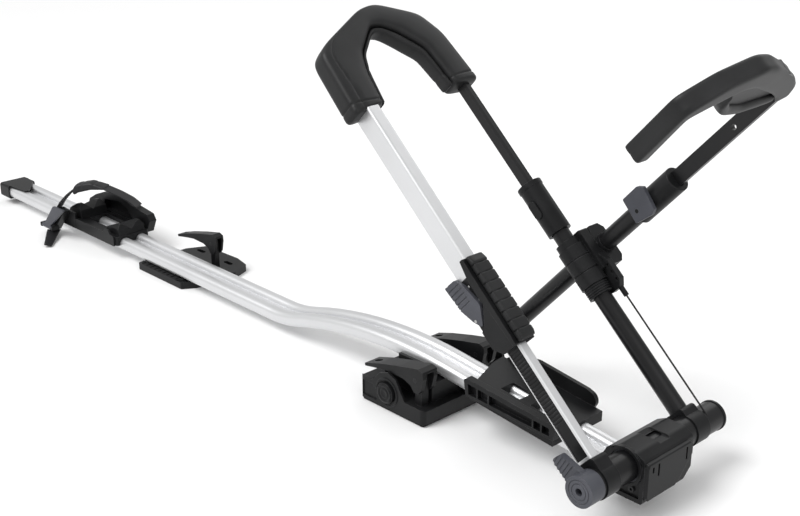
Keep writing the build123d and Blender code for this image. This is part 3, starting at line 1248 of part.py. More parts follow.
with BuildPart() as handle_grip:
    grip_near = near_leg_y - grip_width / 2
    extrude(shape(beside_leg(grip_near), grip_outline, edge_round), amount=grip_width)
    grip_pitch = (grip_outline[4][0] - grip_outline[0][0]) / grip_segment_count
    for number in range(1, grip_segment_count):
        groove_along = grip_outline[0][0] + number * grip_pitch
        extrude(span(beside_leg(grip_near - cut_overrun),
                     (groove_along - grip_groove / 2, grip_outline[3][1] - grip_groove),
                     (groove_along + grip_groove / 2, grip_outline[2][1] + cut_overrun)),
                amount=grip_width + 2 * cut_overrun, mode=Mode.SUBTRACT)
    extrude(shape(beside_leg(handle_y[0] - cut_overrun), handle_outline),
            amount=handle_y[1] - handle_y[0] + 2 * cut_overrun, mode=Mode.SUBTRACT)
    extrude(oblong(across_leg(handle_outline[0][0] - cut_overrun, near_leg_y), upper_tube_width, upper_tube_depth,
                   tube_corner_radius), amount=upper_tube_high, mode=Mode.SUBTRACT)
keep(handle_grip, "handle_grip")

with BuildPart() as release_lever:
    extrude(shape(beside_leg(handle_y[0]), trigger_outline, trigger_rounds), amount=trigger_plate)
    extrude(shape(beside_leg(handle_y[0]), trigger_side_outline, edge_round), amount=trigger_far_y - handle_y[0])
    extrude(disc(lever_pivot_at, handle_pin_radius + running_clearance), amount=trigger_plate, mode=Mode.SUBTRACT)
    for number in range(trigger_ridge_count):
        ridge_along = trigger_ridge_start + number * trigger_ridge_pitch
        extrude(span(beside_leg(handle_y[0]), (ridge_along, trigger_ridge_off[0]),
                     (ridge_along + trigger_ridge_width, trigger_ridge_off[1])), amount=trigger_ridge_depth,
                mode=Mode.SUBTRACT)
keep(release_lever, "release_lever")

with BuildPart() as handle_pin:
    extrude(disc(lever_pivot_at, handle_pin_radius), amount=lever_lug_y[1] - handle_y[0])
keep(handle_pin, "handle_pin")

tooth_crest_y = rack_floor_y - rack_tooth_height
with BuildPart() as ratchet_pawl:
    pawl_far_y = tooth_crest_y - pawl_gap
    pawl_near_y = handle_y[0] + handle_wall + pawl_travel + pawl_gap
    extrude(span(beside_leg(pawl_near_y), (pawl_along[0], -pawl_half), (pawl_along[1], pawl_half)),
            amount=pawl_far_y - pawl_near_y)
keep(ratchet_pawl, "ratchet_pawl")

# Collar with the pivot flange, its bracket and ferrule, and the release wire
with BuildPart() as collar:
    extrude(disc(across_leg(collar_neck_high, far_leg_y, far_leg_off), collar_radius),
            amount=collar_shoulder[0] - collar_neck_high)
    extrude(disc(across_leg(collar_shoulder[0], far_leg_y, far_leg_off), collar_shoulder[1]),
            amount=collar_high - collar_shoulder[0])
    extrude(disc(across_leg(collar_low, far_leg_y, far_leg_off), collar_neck_radius),
            amount=collar_neck_high - collar_low)
    for number in range(collar_ridge_count):
        ridge_at = collar_low + number * collar_ridge_pitch
        extrude(disc(across_leg(ridge_at, far_leg_y, far_leg_off), collar_neck_radius + collar_ridge_height),
                amount=collar_ridge_pitch / 2)
    for groove_along in collar_grooves:
        extrude(disc(across_leg(groove_along, far_leg_y, far_leg_off), collar_radius + cut_overrun,
                     collar_radius - collar_groove_depth), amount=collar_groove_width, mode=Mode.SUBTRACT)
    extrude(span(beside_leg(block_near_y), (block_along[0], block_off[0]), (block_along[1], block_off[1]),
                 edge_round * 2), amount=block_split_y - pass_gap / 2 - block_near_y)
    extrude(disc(across_leg(collar_low, far_leg_y, far_leg_off), far_tube_radius + collar_bore_gap),
            amount=block_along[1], mode=Mode.SUBTRACT)
    pivot_at = Plane(origin=hinge_centre + leg_up * pivot_along + leg_off * pivot_off + Vector(0, block_near_y, 0),
                     x_dir=leg_up, z_dir=(0, 1, 0))
    extrude(disc(pivot_at, pivot_pin_radius), amount=block_split_y - block_near_y, mode=Mode.SUBTRACT)
    extrude(disc(across_leg(collar_low, wire_y, wire_off), wire_bore), amount=block_along[1], mode=Mode.SUBTRACT)
keep(collar, "collar")

with BuildPart() as pivot_pin:
    extrude(disc(pivot_at, pivot_pin_radius), amount=block_split_y - pass_gap / 2 - block_near_y)
keep(pivot_pin, "pivot_pin")

with BuildPart() as collar_bracket:
    extrude(shape(beside_leg(bracket_y[0]), bracket_outline, edge_round), amount=bracket_y[1] - bracket_y[0])
    for number in range(bracket_slot_count):
        slot_along = bracket_low + bracket_slot_pitch * (number + 1)
        extrude(span(beside_leg(bracket_y[0]), (slot_along - bracket_slot_half, bracket_slot_off[0]),
                     (slot_along + bracket_slot_half, bracket_slot_off[1])), amount=bracket_y[1] - bracket_y[0],
                mode=Mode.SUBTRACT)
    extrude(disc(across_leg(ferrule_low, wire_y, wire_off), ferrule_radius), amount=bracket_high - ferrule_low)
    add(collar.part, mode=Mode.SUBTRACT)
    extrude(disc(across_leg(ferrule_low, wire_y, wire_off), wire_bore), amount=block_along[1], mode=Mode.SUBTRACT)
keep(collar_bracket, "collar_bracket")

with BuildPart() as release_wire:
    extrude(disc(across_leg(wire_low, wire_y, wire_off), wire_radius), amount=wire_high - wire_low)
    add(hinge_tube.part, mode=Mode.SUBTRACT)
keep(release_wire, "release_wire")

# Secondary arm: bracket and pin on the front foot, eye, tube, block, sleeve, lever
with BuildPart() as arm_bracket:
    extrude(span(floor(arm_bracket_floor), (arm_foot_x - arm_bracket_half, foot_far_y + seat_gap),
                 (arm_foot_x + arm_bracket_half, arm_cheek_far_y), edge_round), amount=arm_bracket_base)
    for cheek_y in (arm_cheek_near_y + arm_cheek, arm_cheek_far_y):
        extrude(shape(side(cheek_y), arm_cheek_outline), amount=arm_cheek)
        extrude(disc(Plane(origin=(arm_foot_x, cheek_y, arm_foot_z), x_dir=(1, 0, 0), z_dir=(0, -1, 0)),
                     arm_cheek_radius), amount=arm_cheek)
    extrude(span(floor(arm_bracket_floor), (arm_foot_x - arm_bracket_rib / 2, foot_far_y + seat_gap),
                 (arm_foot_x + arm_bracket_rib / 2, arm_cheek_near_y)), amount=arm_foot_z - arm_bracket_floor)
    arm_pin_at = Plane(origin=(arm_foot_x, arm_cheek_far_y, arm_foot_z), x_dir=(1, 0, 0), z_dir=(0, -1, 0))
    extrude(disc(arm_pin_at, arm_pin_radius), amount=arm_cheek_far_y - arm_cheek_near_y, mode=Mode.SUBTRACT)
keep(arm_bracket, "arm_bracket")

with BuildPart() as arm_pin:
    extrude(disc(arm_pin_at, arm_pin_radius), amount=arm_cheek_far_y - arm_cheek_near_y)
    extrude(disc(arm_pin_at, arm_pin_head_radius), amount=-arm_pin_head)
keep(arm_pin, "arm_pin")

with BuildPart() as arm_eye:
    eye_at = Plane(origin=(arm_foot_x, arm_y + arm_eye_width / 2, arm_foot_z), x_dir=(1, 0, 0), z_dir=(0, -1, 0))
    extrude(disc(eye_at, arm_eye_radius), amount=arm_eye_width)
    extrude(disc(across_arm(0), arm_tube_radius - arm_tube_wall), amount=arm_tube_low + arm_eye_plug)
    extrude(span(across_arm(0), (-arm_eye_radius - cut_overrun, arm_eye_width / 2),
                 (arm_eye_radius + cut_overrun, arm_tube_radius + cut_overrun)), amount=arm_tube_low - edge_round,
            mode=Mode.SUBTRACT)
    extrude(span(across_arm(0), (-arm_eye_radius - cut_overrun, -arm_tube_radius - cut_overrun),
                 (arm_eye_radius + cut_overrun, -arm_eye_width / 2)), amount=arm_tube_low - edge_round,
            mode=Mode.SUBTRACT)
    extrude(disc(eye_at, arm_pin_radius + running_clearance), amount=arm_eye_width, mode=Mode.SUBTRACT)
keep(arm_eye, "arm_eye")

arm_lever_pivot_at = Plane(origin=arm_centre + arm_up * arm_lever_pivot[0] + arm_off * arm_lever_pivot[1]
                           + Vector(0, arm_lever_y[0], 0), x_dir=arm_up, z_dir=(0, 1, 0))
arm_lever_pin_length = arm_y - arm_sleeve_radius + arm_tube_wall - arm_lever_y[0]
with BuildPart() as arm_tube:
    extrude(disc(across_arm(arm_tube_low), arm_tube_radius, arm_tube_radius - arm_tube_wall),
            amount=arm_tube_high - arm_tube_low)
keep(arm_tube, "arm_tube")

with BuildPart() as arm_block:
    extrude(shape(facing_leg(block_off[1]), block_outline), amount=block_off[1] - block_off[0])
    extrude(disc(across_arm(bush_ring_low - bush_ring_length), bush_ring_radius), amount=2 * bush_ring_length)
    extrude(disc(across_arm(arm_tube_low), arm_tube_radius), amount=arm_tube_high, mode=Mode.SUBTRACT)
keep(arm_block, "arm_block")

with BuildPart() as arm_sleeve:
    extrude(disc(across_arm(arm_sleeve_low), arm_sleeve_radius, arm_tube_radius),
            amount=arm_sleeve_high - arm_sleeve_low)
    extrude(disc(across_arm(arm_tube_high), arm_tube_radius), amount=arm_sleeve_high - arm_tube_high)
    fillet(arm_sleeve.edges().filter_by(GeomType.CIRCLE).group_by(SortBy.RADIUS)[-1], edge_round)
    extrude(disc(arm_lever_pivot_at, arm_lever_pin_radius), amount=arm_lever_pin_length)
    extrude(oblong(across_arm(arm_tube_high - cut_overrun), arm_bar_width + 2 * sliding_clearance,
                   arm_bar_thickness + 2 * sliding_clearance), amount=arm_sleeve_high, mode=Mode.SUBTRACT)
keep(arm_sleeve, "arm_sleeve")

with BuildPart() as arm_lever:
    extrude(shape(beside_arm(arm_lever_y[0]), arm_lever_outline, edge_round * 2),
            amount=arm_lever_y[1] - arm_lever_y[0])
    extrude(disc(arm_lever_pivot_at, arm_lever_pin_radius + running_clearance),
            amount=arm_lever_y[1] - arm_lever_y[0], mode=Mode.SUBTRACT)
keep(arm_lever, "arm_lever")

# Hook: flat bar with its curved end, and the moulded hook over it
with BuildPart() as hook_bar:
    with BuildLine(facing_arm(0)) as bar_line:
        FilletPolyline(*bar_path, radius=bar_bend)
    sweep(sections=oblong(across_arm(arm_bar_low), arm_bar_width, arm_bar_thickness), path=bar_line.line)
    bar_hole_along = hook_outline[0][0] - bar_hole_from_hook
    bar_hole_at = Plane(origin=arm_centre + arm_up * bar_hole_along + Vector(0, arm_y - arm_bar_thickness, 0),
                        x_dir=arm_up, z_dir=(0, 1, 0))
    extrude(disc(bar_hole_at, arm_bar_hole_radius), amount=2 * arm_bar_thickness, mode=Mode.SUBTRACT)
keep(hook_bar, "hook_bar")

with BuildPart() as hook_pad:
    extrude(shape(facing_arm(0), hook_outline, hook_rounds), amount=hook_width / 2, both=True)
    fillet(hook_pad.faces().sort_by(Axis(arm_centre, arm_off))[-1].edges(), edge_round)
    fillet(hook_pad.faces().sort_by(Axis(arm_centre, arm_off))[0].edges(), edge_round)
    add(hook_bar.part, mode=Mode.SUBTRACT)
keep(hook_pad, "hook_pad")
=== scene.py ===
import json
from math import cos, exp, radians, sin

import bmesh
import bpy
from mathutils import Matrix, Vector


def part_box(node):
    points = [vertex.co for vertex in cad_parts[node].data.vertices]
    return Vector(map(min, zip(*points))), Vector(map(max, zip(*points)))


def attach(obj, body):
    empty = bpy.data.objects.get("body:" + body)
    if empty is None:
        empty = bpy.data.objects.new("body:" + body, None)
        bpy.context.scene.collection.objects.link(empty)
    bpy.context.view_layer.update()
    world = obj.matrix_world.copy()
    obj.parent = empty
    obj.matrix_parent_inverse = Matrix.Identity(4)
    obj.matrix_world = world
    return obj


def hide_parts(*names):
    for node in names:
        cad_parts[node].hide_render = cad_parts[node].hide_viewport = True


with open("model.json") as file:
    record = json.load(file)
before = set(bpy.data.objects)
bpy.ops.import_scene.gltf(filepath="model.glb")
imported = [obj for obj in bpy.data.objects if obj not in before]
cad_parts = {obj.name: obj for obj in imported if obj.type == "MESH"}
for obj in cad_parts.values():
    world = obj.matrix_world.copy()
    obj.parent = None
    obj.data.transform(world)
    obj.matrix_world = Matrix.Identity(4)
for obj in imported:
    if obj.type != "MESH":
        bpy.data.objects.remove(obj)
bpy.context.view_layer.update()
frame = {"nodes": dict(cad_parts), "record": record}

nodes = frame["nodes"]
scene = bpy.context.scene
print("frame loaded,", len(nodes), "nodes")

# ---- camera, floor and light
shot = {"place": (1.160, -1.1659, 0.852), "azimuth": 46.4, "elevation": 21.3, "lens": 57.9, "sensor": 36.0,
        "nearClip": 0.05, "farClip": 60.0}
studio = {"floorSize": 160.0, "floorColour": 0.92, "floorRoughness": 0.9,
          "mirroredLevel": 0.9, "mirroredShare": 0.75, "worldLevel": 0.6, "worldSeen": 1.0,
          "sunPower": 1.5, "sunPlace": (-1.2, -2.0, 3.4), "sunSpread": 32,
          "keyPower": 26.0, "keyPlace": (-0.9, -2.2, 2.6), "keySize": 2.2,
          "fillPower": 16.0, "fillPlace": (2.6, -0.4, 1.7), "fillSize": 2.4,
          "backPower": 14.0, "backPlace": (-0.6, 2.4, 2.2), "backSize": 2.0, "aim": (-0.2, 0.0, 0.2)}


def lookAlong(thing, direction):
    thing.rotation_mode = "QUATERNION"
    thing.rotation_quaternion = Vector(direction).to_track_quat("-Z", "Y")


def addCamera():
    data = bpy.data.cameras.new("camera")
    data.lens, data.sensor_width = shot["lens"], shot["sensor"]
    data.clip_start, data.clip_end = shot["nearClip"], shot["farClip"]
    camera = bpy.data.objects.new("camera", data)
    camera.location = shot["place"]
    turn, tilt = radians(shot["azimuth"]), radians(shot["elevation"])
    lookAlong(camera, (-sin(turn) * cos(tilt), cos(turn) * cos(tilt), -sin(tilt)))
    scene.collection.objects.link(camera)
    scene.camera = camera


def addSun():
    # an even, soft light, so that the floor stays white far out
    data = bpy.data.lights.new("sunLamp", "SUN")
    data.energy, data.angle = studio["sunPower"], radians(studio["sunSpread"])
    lamp = bpy.data.objects.new("sunLamp", data)
    lookAlong(lamp, Vector(studio["aim"]) - Vector(studio["sunPlace"]))
    scene.collection.objects.link(lamp)


def addLamp(role):
    data = bpy.data.lights.new(role + "Lamp", "AREA")
    data.energy, data.size = studio[role + "Power"], studio[role + "Size"]
    lamp = bpy.data.objects.new(role + "Lamp", data)
    lamp.location = studio[role + "Place"]
    lookAlong(lamp, Vector(studio["aim"]) - Vector(studio[role + "Place"]))
    scene.collection.objects.link(lamp)


addCamera()
addSun()
for role in ("key", "fill", "back"):
    addLamp(role)
scene.view_settings.view_transform = "Standard"


# ---- shader expressions: a Field is a socket that Python maths can be done on
class Field:
    def __init__(self, tree, socket):
        self.tree, self.socket = tree, socket

    def _math(self, operation, first, second=0.0):
        return self.tree.add("ShaderNodeMath", {"operation": operation}, {0: first, 1: second})

    def __add__(self, other):
        return self._math("ADD", self, other)

    def __radd__(self, other):
        return self._math("ADD", other, self)

    def __sub__(self, other):
        return self._math("SUBTRACT", self, other)

    def __rsub__(self, other):
        return self._math("SUBTRACT", other, self)

    def __mul__(self, other):
        return self._math("MULTIPLY", self, other)

    def __rmul__(self, other):
        return self._math("MULTIPLY", other, self)

    def clipped(self):
        return self.tree.add("ShaderNodeClamp", {}, {0: self})

    def out(self, name):
        return Field(self.tree, self.socket.node.outputs[name])


class Recipe:
    def __init__(self, name):
        self.material = bpy.data.materials.new(name)
        self.material.use_nodes = True
        self.nodes = self.material.node_tree.nodes
        self.links = self.material.node_tree.links
        self.nodes.clear()
        self.shader = self.nodes.new("ShaderNodeBsdfPrincipled")
        output = self.nodes.new("ShaderNodeOutputMaterial")
        self.links.new(self.shader.outputs[0], output.inputs[0])
        self.output = output

    def feed(self, socket, value):
        if isinstance(value, Field):
            self.links.new(value.socket, socket)
        else:
            socket.default_value = value

    def add(self, kind, settings, values):
        node = self.nodes.new(kind)
        stops = settings.pop("stops", None)
        for key, value in settings.items():
            setattr(node, key, value)
        if stops:
            ramp = node.color_ramp
            while len(ramp.elements) < len(stops):
                ramp.elements.new(0.5)
            for element, (at, level) in zip(ramp.elements, stops):
                element.position = at
                element.color = (level, level, level, 1) if not hasattr(level, "__len__") else (*level, 1)
        for key, value in values.items():
            self.feed(node.inputs[key], value)
        return Field(self, node.outputs[0])

    def where(self, scale=(1, 1, 1), turn=(0, 0, 0)):
        place = self.add("ShaderNodeTexCoord", {}, {}).out("Object")
        return self.add("ShaderNodeMapping", {}, {"Vector": place, "Rotation": turn, "Scale": scale})

    def noise(self, scale, detail=3.0, roughness=0.5, stretch=(1, 1, 1), turn=(0, 0, 0)):
        return self.add("ShaderNodeTexNoise", {}, {"Vector": self.where(stretch, turn), "Scale": scale,
                                                   "Detail": detail, "Roughness": roughness})

    def ramp(self, value, *stops):
        return self.add("ShaderNodeValToRGB", {"stops": stops}, {0: value})

    def mix(self, share, low, high):
        low = low if isinstance(low, Field) else (*low, 1)
        high = high if isinstance(high, Field) else (*high, 1)
        node = self.nodes.new("ShaderNodeMix")
        node.data_type = "RGBA"
        self.feed(node.inputs[0], share)
        self.feed(node.inputs[6], low)
        self.feed(node.inputs[7], high)
        return Field(self, node.outputs[2])

    def edges(self, radius):
        # how far the surface turns within the radius: 0 on flats, up to 1 on sharp edges
        rounded = self.add("ShaderNodeBevel", {"samples": bevelLook["samples"]}, {"Radius": radius})
        plain = self.add("ShaderNodeNewGeometry", {}, {}).out("Normal")
        agree = self.add("ShaderNodeVectorMath", {"operation": "DOT_PRODUCT"}, {0: rounded, 1: plain})
        return ((1.0 - agree.out("Value")) * bevelLook["gain"]).clipped()

    def bump(self, height, distance, strength, rounding):
        rounded = self.add("ShaderNodeBevel", {"samples": bevelLook["samples"]}, {"Radius": rounding})
        return self.add("ShaderNodeBump", {}, {"Height": height, "Distance": distance, "Strength": strength,
                                               "Normal": rounded})

    def finish(self, **sockets):
        for name, value in sockets.items():
            self.feed(self.shader.inputs[name.replace("_", " ")], value)
        return self.material


# ---- finishes; lengths in their dictionaries are in metres
bevelLook = {"samples": 4, "gain": 6.0}
silverLook = {"grainScale": 240.0, "grainDetail": 3.0, "grainRoughness": 0.6, "stretch": (0.02, 1.0, 1.0),
              "cloudScale": 7.0, "cloudDetail": 3.0, "cloudStops": ((0.3, 0.0), (0.7, 1.0)),
              "low": (0.74, 0.745, 0.755), "high": (0.80, 0.805, 0.815),
              # the edge colour and edge share below paint a highlight along the silver's edges
              "edgeRadius": 0.0012, "edgeShare": 0.5, "edgeHighlightColour": (0.9, 0.9, 0.91),
              "metallic": 0.8, "rough": 0.36, "roughSpread": 0.05,
              "depth": 0.00001, "strength": 0.4, "rounding": 0.0006}
mouldLook = {"grainScale": 900.0, "grainDetail": 2.0, "cloudScale": 16.0, "cloudDetail": 4.0,
             "cloudStops": ((0.35, 0.0), (0.7, 1.0)), "palerGain": 1.35, "palerLift": 0.004,
             "edgeRadius": 0.0009, "rubScale": 60.0, "rubDetail": 4.0, "rubStops": ((0.42, 0.0), (0.62, 1.0)),
             "edgeShare": 0.55, "wear": (0.11, 0.11, 0.115), "roughSpread": 0.12, "gloss": 0.3,
             "depth": 0.00004, "strength": 0.6, "rounding": 0.0007}
coatLook = {"peelScale": 420.0, "peelDetail": 2.0, "cloudScale": 9.0, "cloudDetail": 3.0,
            "cloudStops": ((0.35, 0.0), (0.7, 1.0)), "palerGain": 1.3, "palerLift": 0.002,
            # the edge colour and edge share below paint a highlight along the coat's edges
            "edgeRadius": 0.0008, "edgeShare": 0.35, "edgeHighlightColour": (0.09, 0.09, 0.095),
            "roughSpread": 0.1, "gloss": 0.3, "depth": 0.00005, "strength": 0.5, "rounding": 0.0005}
zincLook = {"grainScale": 600.0, "grainDetail": 3.0, "grainRoughness": 0.6, "stretch": (0.1, 1.0, 1.0),
            "low": (0.42, 0.42, 0.42), "high": (0.58, 0.58, 0.57), "rough": 0.28, "roughSpread": 0.15,
            "depth": 0.00002, "strength": 0.4, "rounding": 0.0003}


def anodised(name, turn):
    # satin silver with a fine grain along the extrusion, and a painted highlight that lightens every edge
    # towards near white
    r, look = Recipe(name), silverLook
    grain = r.noise(look["grainScale"], look["grainDetail"], look["grainRoughness"], look["stretch"], turn)
    cloud = r.noise(look["cloudScale"], look["cloudDetail"])
    edgeWearAndSheen = r.edges(look["edgeRadius"])
    colour = r.mix(r.ramp(cloud, *look["cloudStops"]), look["low"], look["high"])
    # painted highlight: the edges are mixed towards near white, standing in for light caught on them
    colour = r.mix(edgeWearAndSheen * look["edgeShare"], colour, look["edgeHighlightColour"])
    return r.finish(Base_Color=colour, Metallic=look["metallic"],
                    Roughness=grain * look["roughSpread"] + look["rough"],
                    Normal=r.bump(grain, look["depth"], look["strength"], look["rounding"]))


def moulded(name, colour, rough, **changes):
    # plastic with a fine spark texture, a little paler where edges are rubbed
    r, look = Recipe(name), {**mouldLook, **changes}
    grain = r.noise(look["grainScale"], look["grainDetail"])
    cloud = r.noise(look["cloudScale"], look["cloudDetail"])
    paler = tuple(min(1.0, level * look["palerGain"] + look["palerLift"]) for level in colour)
    tone = r.mix(r.ramp(cloud, *look["cloudStops"]), colour, paler)
    rubbed = r.ramp(r.noise(look["rubScale"], look["rubDetail"]), *look["rubStops"])
    edgeWearAndSheen = r.edges(look["edgeRadius"]) * rubbed
    tone = r.mix(edgeWearAndSheen * look["edgeShare"], tone, look["wear"])
    return r.finish(Base_Color=tone, Specular_IOR_Level=look["gloss"],
                    Roughness=cloud * look["roughSpread"] + (rough - look["roughSpread"] / 2),
                    Normal=r.bump(grain, look["depth"], look["strength"], look["rounding"]))


def coated(name, colour, rough):
    # black powder coat: faint uneven skin, satin, with a painted highlight that pales the edges
    r, look = Recipe(name), coatLook
    peel = r.noise(look["peelScale"], look["peelDetail"])
    cloud = r.noise(look["cloudScale"], look["cloudDetail"])
    edgeWearAndSheen = r.edges(look["edgeRadius"])
    paler = tuple(level * look["palerGain"] + look["palerLift"] for level in colour)
    tone = r.mix(r.ramp(cloud, *look["cloudStops"]), colour, paler)
    # painted highlight: the edges are mixed towards dark grey, standing in for light caught on them
    tone = r.mix(edgeWearAndSheen * look["edgeShare"], tone, look["edgeHighlightColour"])
    return r.finish(Base_Color=tone, Specular_IOR_Level=look["gloss"],
                    Roughness=cloud * look["roughSpread"] + (rough - look["roughSpread"] / 2),
                    Normal=r.bump(peel, look["depth"], look["strength"], look["rounding"]))


def zinc(name):
    # bare brushed metal for pins and rivets
    r, look = Recipe(name), zincLook
    brushed = r.noise(look["grainScale"], look["grainDetail"], look["grainRoughness"], look["stretch"])
    return r.finish(Base_Color=r.mix(brushed, look["low"], look["high"]), Metallic=1.0,
                    Roughness=brushed * look["roughSpread"] + look["rough"],
                    Normal=r.bump(brushed, look["depth"], look["strength"], look["rounding"]))


legTilt, armTilt = radians(42.3), radians(47.6)
finishes = {
    "silver": anodised("silver", (0, 0, 0)),
    "silverLeg": anodised("silverLeg", (0.0, -legTilt, 0.0)),
    "black_plastic": moulded("blackPlastic", (0.006, 0.0062, 0.0067), 0.38, gloss=0.2),
    "black_tube": coated("blackTube", (0.0055, 0.0055, 0.006), 0.3),
    "soft_black": moulded("softBlack", (0.0095, 0.0097, 0.0102), 0.46, grainScale=1500.0, depth=0.00003,
                          wear=(0.05, 0.05, 0.052), rounding=0.0012),
    "foot_rubber": moulded("footRubber", (0.009, 0.009, 0.0095), 0.7, grainScale=700.0, depth=0.00006,
                           wear=(0.04, 0.04, 0.04), gloss=0.18),
    "grey_plastic": moulded("greyPlastic", (0.05, 0.052, 0.062), 0.45, wear=(0.2, 0.2, 0.215)),
    "strap_plastic": moulded("strapPlastic", (0.0115, 0.0115, 0.0125), 0.46),
    "steel": zinc("zinc"),
}
for part in frame["record"]["subparts"]:
    node = nodes[part["node"]]
    onLegTube = part["node"] in ("near_rail", "near_upper_tube")
    node.data.materials.clear()
    node.data.materials.append(finishes["silverLeg" if onLegTube else part["material_slot"]])
print("finishes on")


# ---- places on the turned frames, given in millimetres
mm = 0.001
fullTurn = 6.2831853    # radians
across, upright = Vector((0, 1, 0)), Vector((0, 0, 1))
legRoot = Vector((376, 0, 65))
legUp, legOff = Vector((-cos(legTilt), 0, sin(legTilt))), Vector((sin(legTilt), 0, cos(legTilt)))
armRoot = Vector((0, 0, 37.5))
armUp, armOff = Vector((cos(armTilt), 0, sin(armTilt))), Vector((sin(armTilt), 0, -cos(armTilt)))
strapRoot, strapAway = Vector((-797, 47, 0)), Vector((-0.8551, -0.5184, 0))
tailRoot, tailAway = Vector((-956, -62, 0)), Vector((0.78, -0.6258, 0))
strapSide, tailSide = strapAway.cross(upright), tailAway.cross(upright)


def onLeg(s, y, n):
    return (legRoot + legUp * s + across * y + legOff * n) * mm


def onHook(u, y):
    return (armRoot + armUp * u + across * y) * mm


def onStrap(along, z):
    return (strapRoot + strapAway * along + upright * z) * mm


def onTail(along, z):
    return (tailRoot + tailAway * along + upright * z) * mm


# ---- meshes from rings of points, and swept forms
def skin(name, rings):
    # joins the rings one after another and closes both ends with fans
    bm = bmesh.new()
    rows = [[bm.verts.new(spot) for spot in ring] for ring in rings]
    sides = len(rows[0])
    for low, high in zip(rows, rows[1:]):
        for k in range(sides):
            bm.faces.new((low[k], low[(k + 1) % sides], high[(k + 1) % sides], high[k]))
    for row in (rows[0], rows[-1]):
        middle = bm.verts.new(sum((v.co for v in row), Vector()) / sides)
        for k in range(sides):
            bm.faces.new((row[k], row[(k + 1) % sides], middle))
    bmesh.ops.recalc_face_normals(bm, faces=bm.faces)
    mesh = bpy.data.meshes.new(name)
    bm.to_mesh(mesh)
    bm.free()
    mesh.shade_smooth()
    return link(name, mesh)


def link(name, mesh):
    piece = bpy.data.objects.new(name, mesh)
    scene.collection.objects.link(piece)
    return piece


sweepLimits = {"fewestSteps": 4, "leastRadius": 0.5 * mm}


def stationsOf(corners, step, softening):
    # a station is (centre, half width vector, half height vector)
    # walks the given corners in even steps, then rounds the turns by averaging
    lengths = [(b[0] - a[0]).length for a, b in zip(corners, corners[1:])]
    steps = max(sweepLimits["fewestSteps"], round(sum(lengths) / step))
    walked = []
    for k in range(steps + 1):
        left = sum(lengths) * k / steps
        at = 0
        while at < len(lengths) - 1 and left > lengths[at]:
            left -= lengths[at]
            at += 1
        share = min(1.0, left / lengths[at])
        walked.append([a.lerp(b, share) for a, b in zip(corners[at], corners[at + 1])])
    for _ in range(softening):
        walked = [walked[0]] + [[(p + q * 2 + r) / 4 for p, q, r in zip(*three)]
                                for three in zip(walked, walked[1:], walked[2:])] + [walked[-1]]
    return walked


def bent(value, squareness):
    # takes a circle's cosine or sine towards a rounded square's
    return (1 if value > 0 else -1) * abs(value) ** (2 / squareness)


def sweep(name, corners, form, relief=None):
    # a closed form along the corners, its section a rounded box, its two ends rounded over
    walked = stationsOf(corners, form["step"] * mm, form["softening"])
    endRound, squareness, sides = form["endRound"] * mm, form["squareness"], form["sides"]
    distance, far = [0.0], 0.0
    for a, b in zip(walked, walked[1:]):
        far += (b[0] - a[0]).length
        distance.append(far)
    rings = []
    for at, (centre, wide, high) in zip(distance, walked):
        gap = min(at, far - at)
        inset = endRound * (1 - (1 - (1 - gap / endRound) ** 2) ** 0.5) if gap < endRound else 0.0
        ring = []
        for k in range(sides):
            angle = fullTurn * k / sides
            x, y = bent(cos(angle), squareness), bent(sin(angle), squareness)
            spot = wide * x * (1 - inset / wide.length) + high * y * (1 - inset / high.length)
            if relief:
                spot = spot * (1 + relief(at, far, x, y) / max(spot.length, sweepLimits["leastRadius"]))
            ring.append(centre + spot)
        rings.append(ring)
    return skin(name, rings)


def dip(at, place, breadth):
    return exp(-((at - place) / breadth) ** 2)


def dress(piece, body, slot, *replaced, finish=None):
    piece.data.materials.clear()
    piece.data.materials.append(finishes[finish or slot])
    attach(piece, body)
    if replaced:
        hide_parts(*replaced)
    return piece


def between(outer, inner, place, halfHeight):
    # stations whose section fills the gap between two lines of one plane
    return [[(place(*o) + place(*i)) / 2, (place(*o) - place(*i)) / 2, halfHeight * mm]
            for o, i in zip(outer, inner)]


# ---- the cushion at the top of the hoop, with its inner lip; reliefs move the surface out or in
padForm = {"outer": [(535, -126), (633, -121.5), (649, -100), (690, -18), (695, 12), (666, 79), (630, 98),
                     (545, 107)],
           "inner": [(541, -73), (592, -66), (622, -55), (660, -16), (659, 2), (645, 24), (612, 53),
                     (547, 61)],
           "middle": -1.5, "halfHeight": 17.5, "step": 1.1, "softening": 84, "squareness": 4.6,
           "endRound": 5.5, "sides": 128, "inset": 0.4 * mm, "crown": 0.9 * mm, "undersideCrown": 0.4,
           "seamDepth": 1.5 * mm, "seamWidth": 1.0 * mm, "endSeam": 12 * mm,
           "crease": 0.34, "creaseDrift": 5.4, "creaseEnd": 0.33, "creaseWidth": 0.028, "creaseAbove": 0.3}
lipForm = {"inner": [(545, -66), (592, -59), (619, -49), (652, -13), (650, 1), (634, 17), (606, 45),
                     (549, 54)],
           "halfHeight": 11.0, "step": 2.2, "softening": 14, "squareness": 2.8, "endRound": 2.4, "sides": 36,
           "inset": 0.2 * mm, "bulge": 1.2 * mm, "bulgePlace": 0.74, "bulgeBreadth": 0.13,
           "waist": 0.9, "waistPlace": 0.44, "waistBreadth": 0.05,
           "seams": (0.2, 0.93), "seamDepth": 0.8 * mm, "seamWidth": 0.012}


def onPad(s, y):
    return onLeg(s, y, padForm["middle"])


def padRelief(at, far, x, y):
    # sewn lines near both ends, and a crease round the outer third of the near arm's upper face
    form = padForm
    seam = dip(at, form["endSeam"], form["seamWidth"]) + dip(at, far - form["endSeam"], form["seamWidth"])
    creasePlace = form["crease"] + form["creaseDrift"] * (at / far) ** 2
    creased = y > form["creaseAbove"] and at < far * form["creaseEnd"]
    crease = dip(x, creasePlace, form["creaseWidth"]) * (1 if creased else 0)
    crown = form["crown"] * (1 - min(1.0, abs(x))) * (1 if y > 0 else form["undersideCrown"])
    return crown - form["seamDepth"] * (seam + crease) - form["inset"]


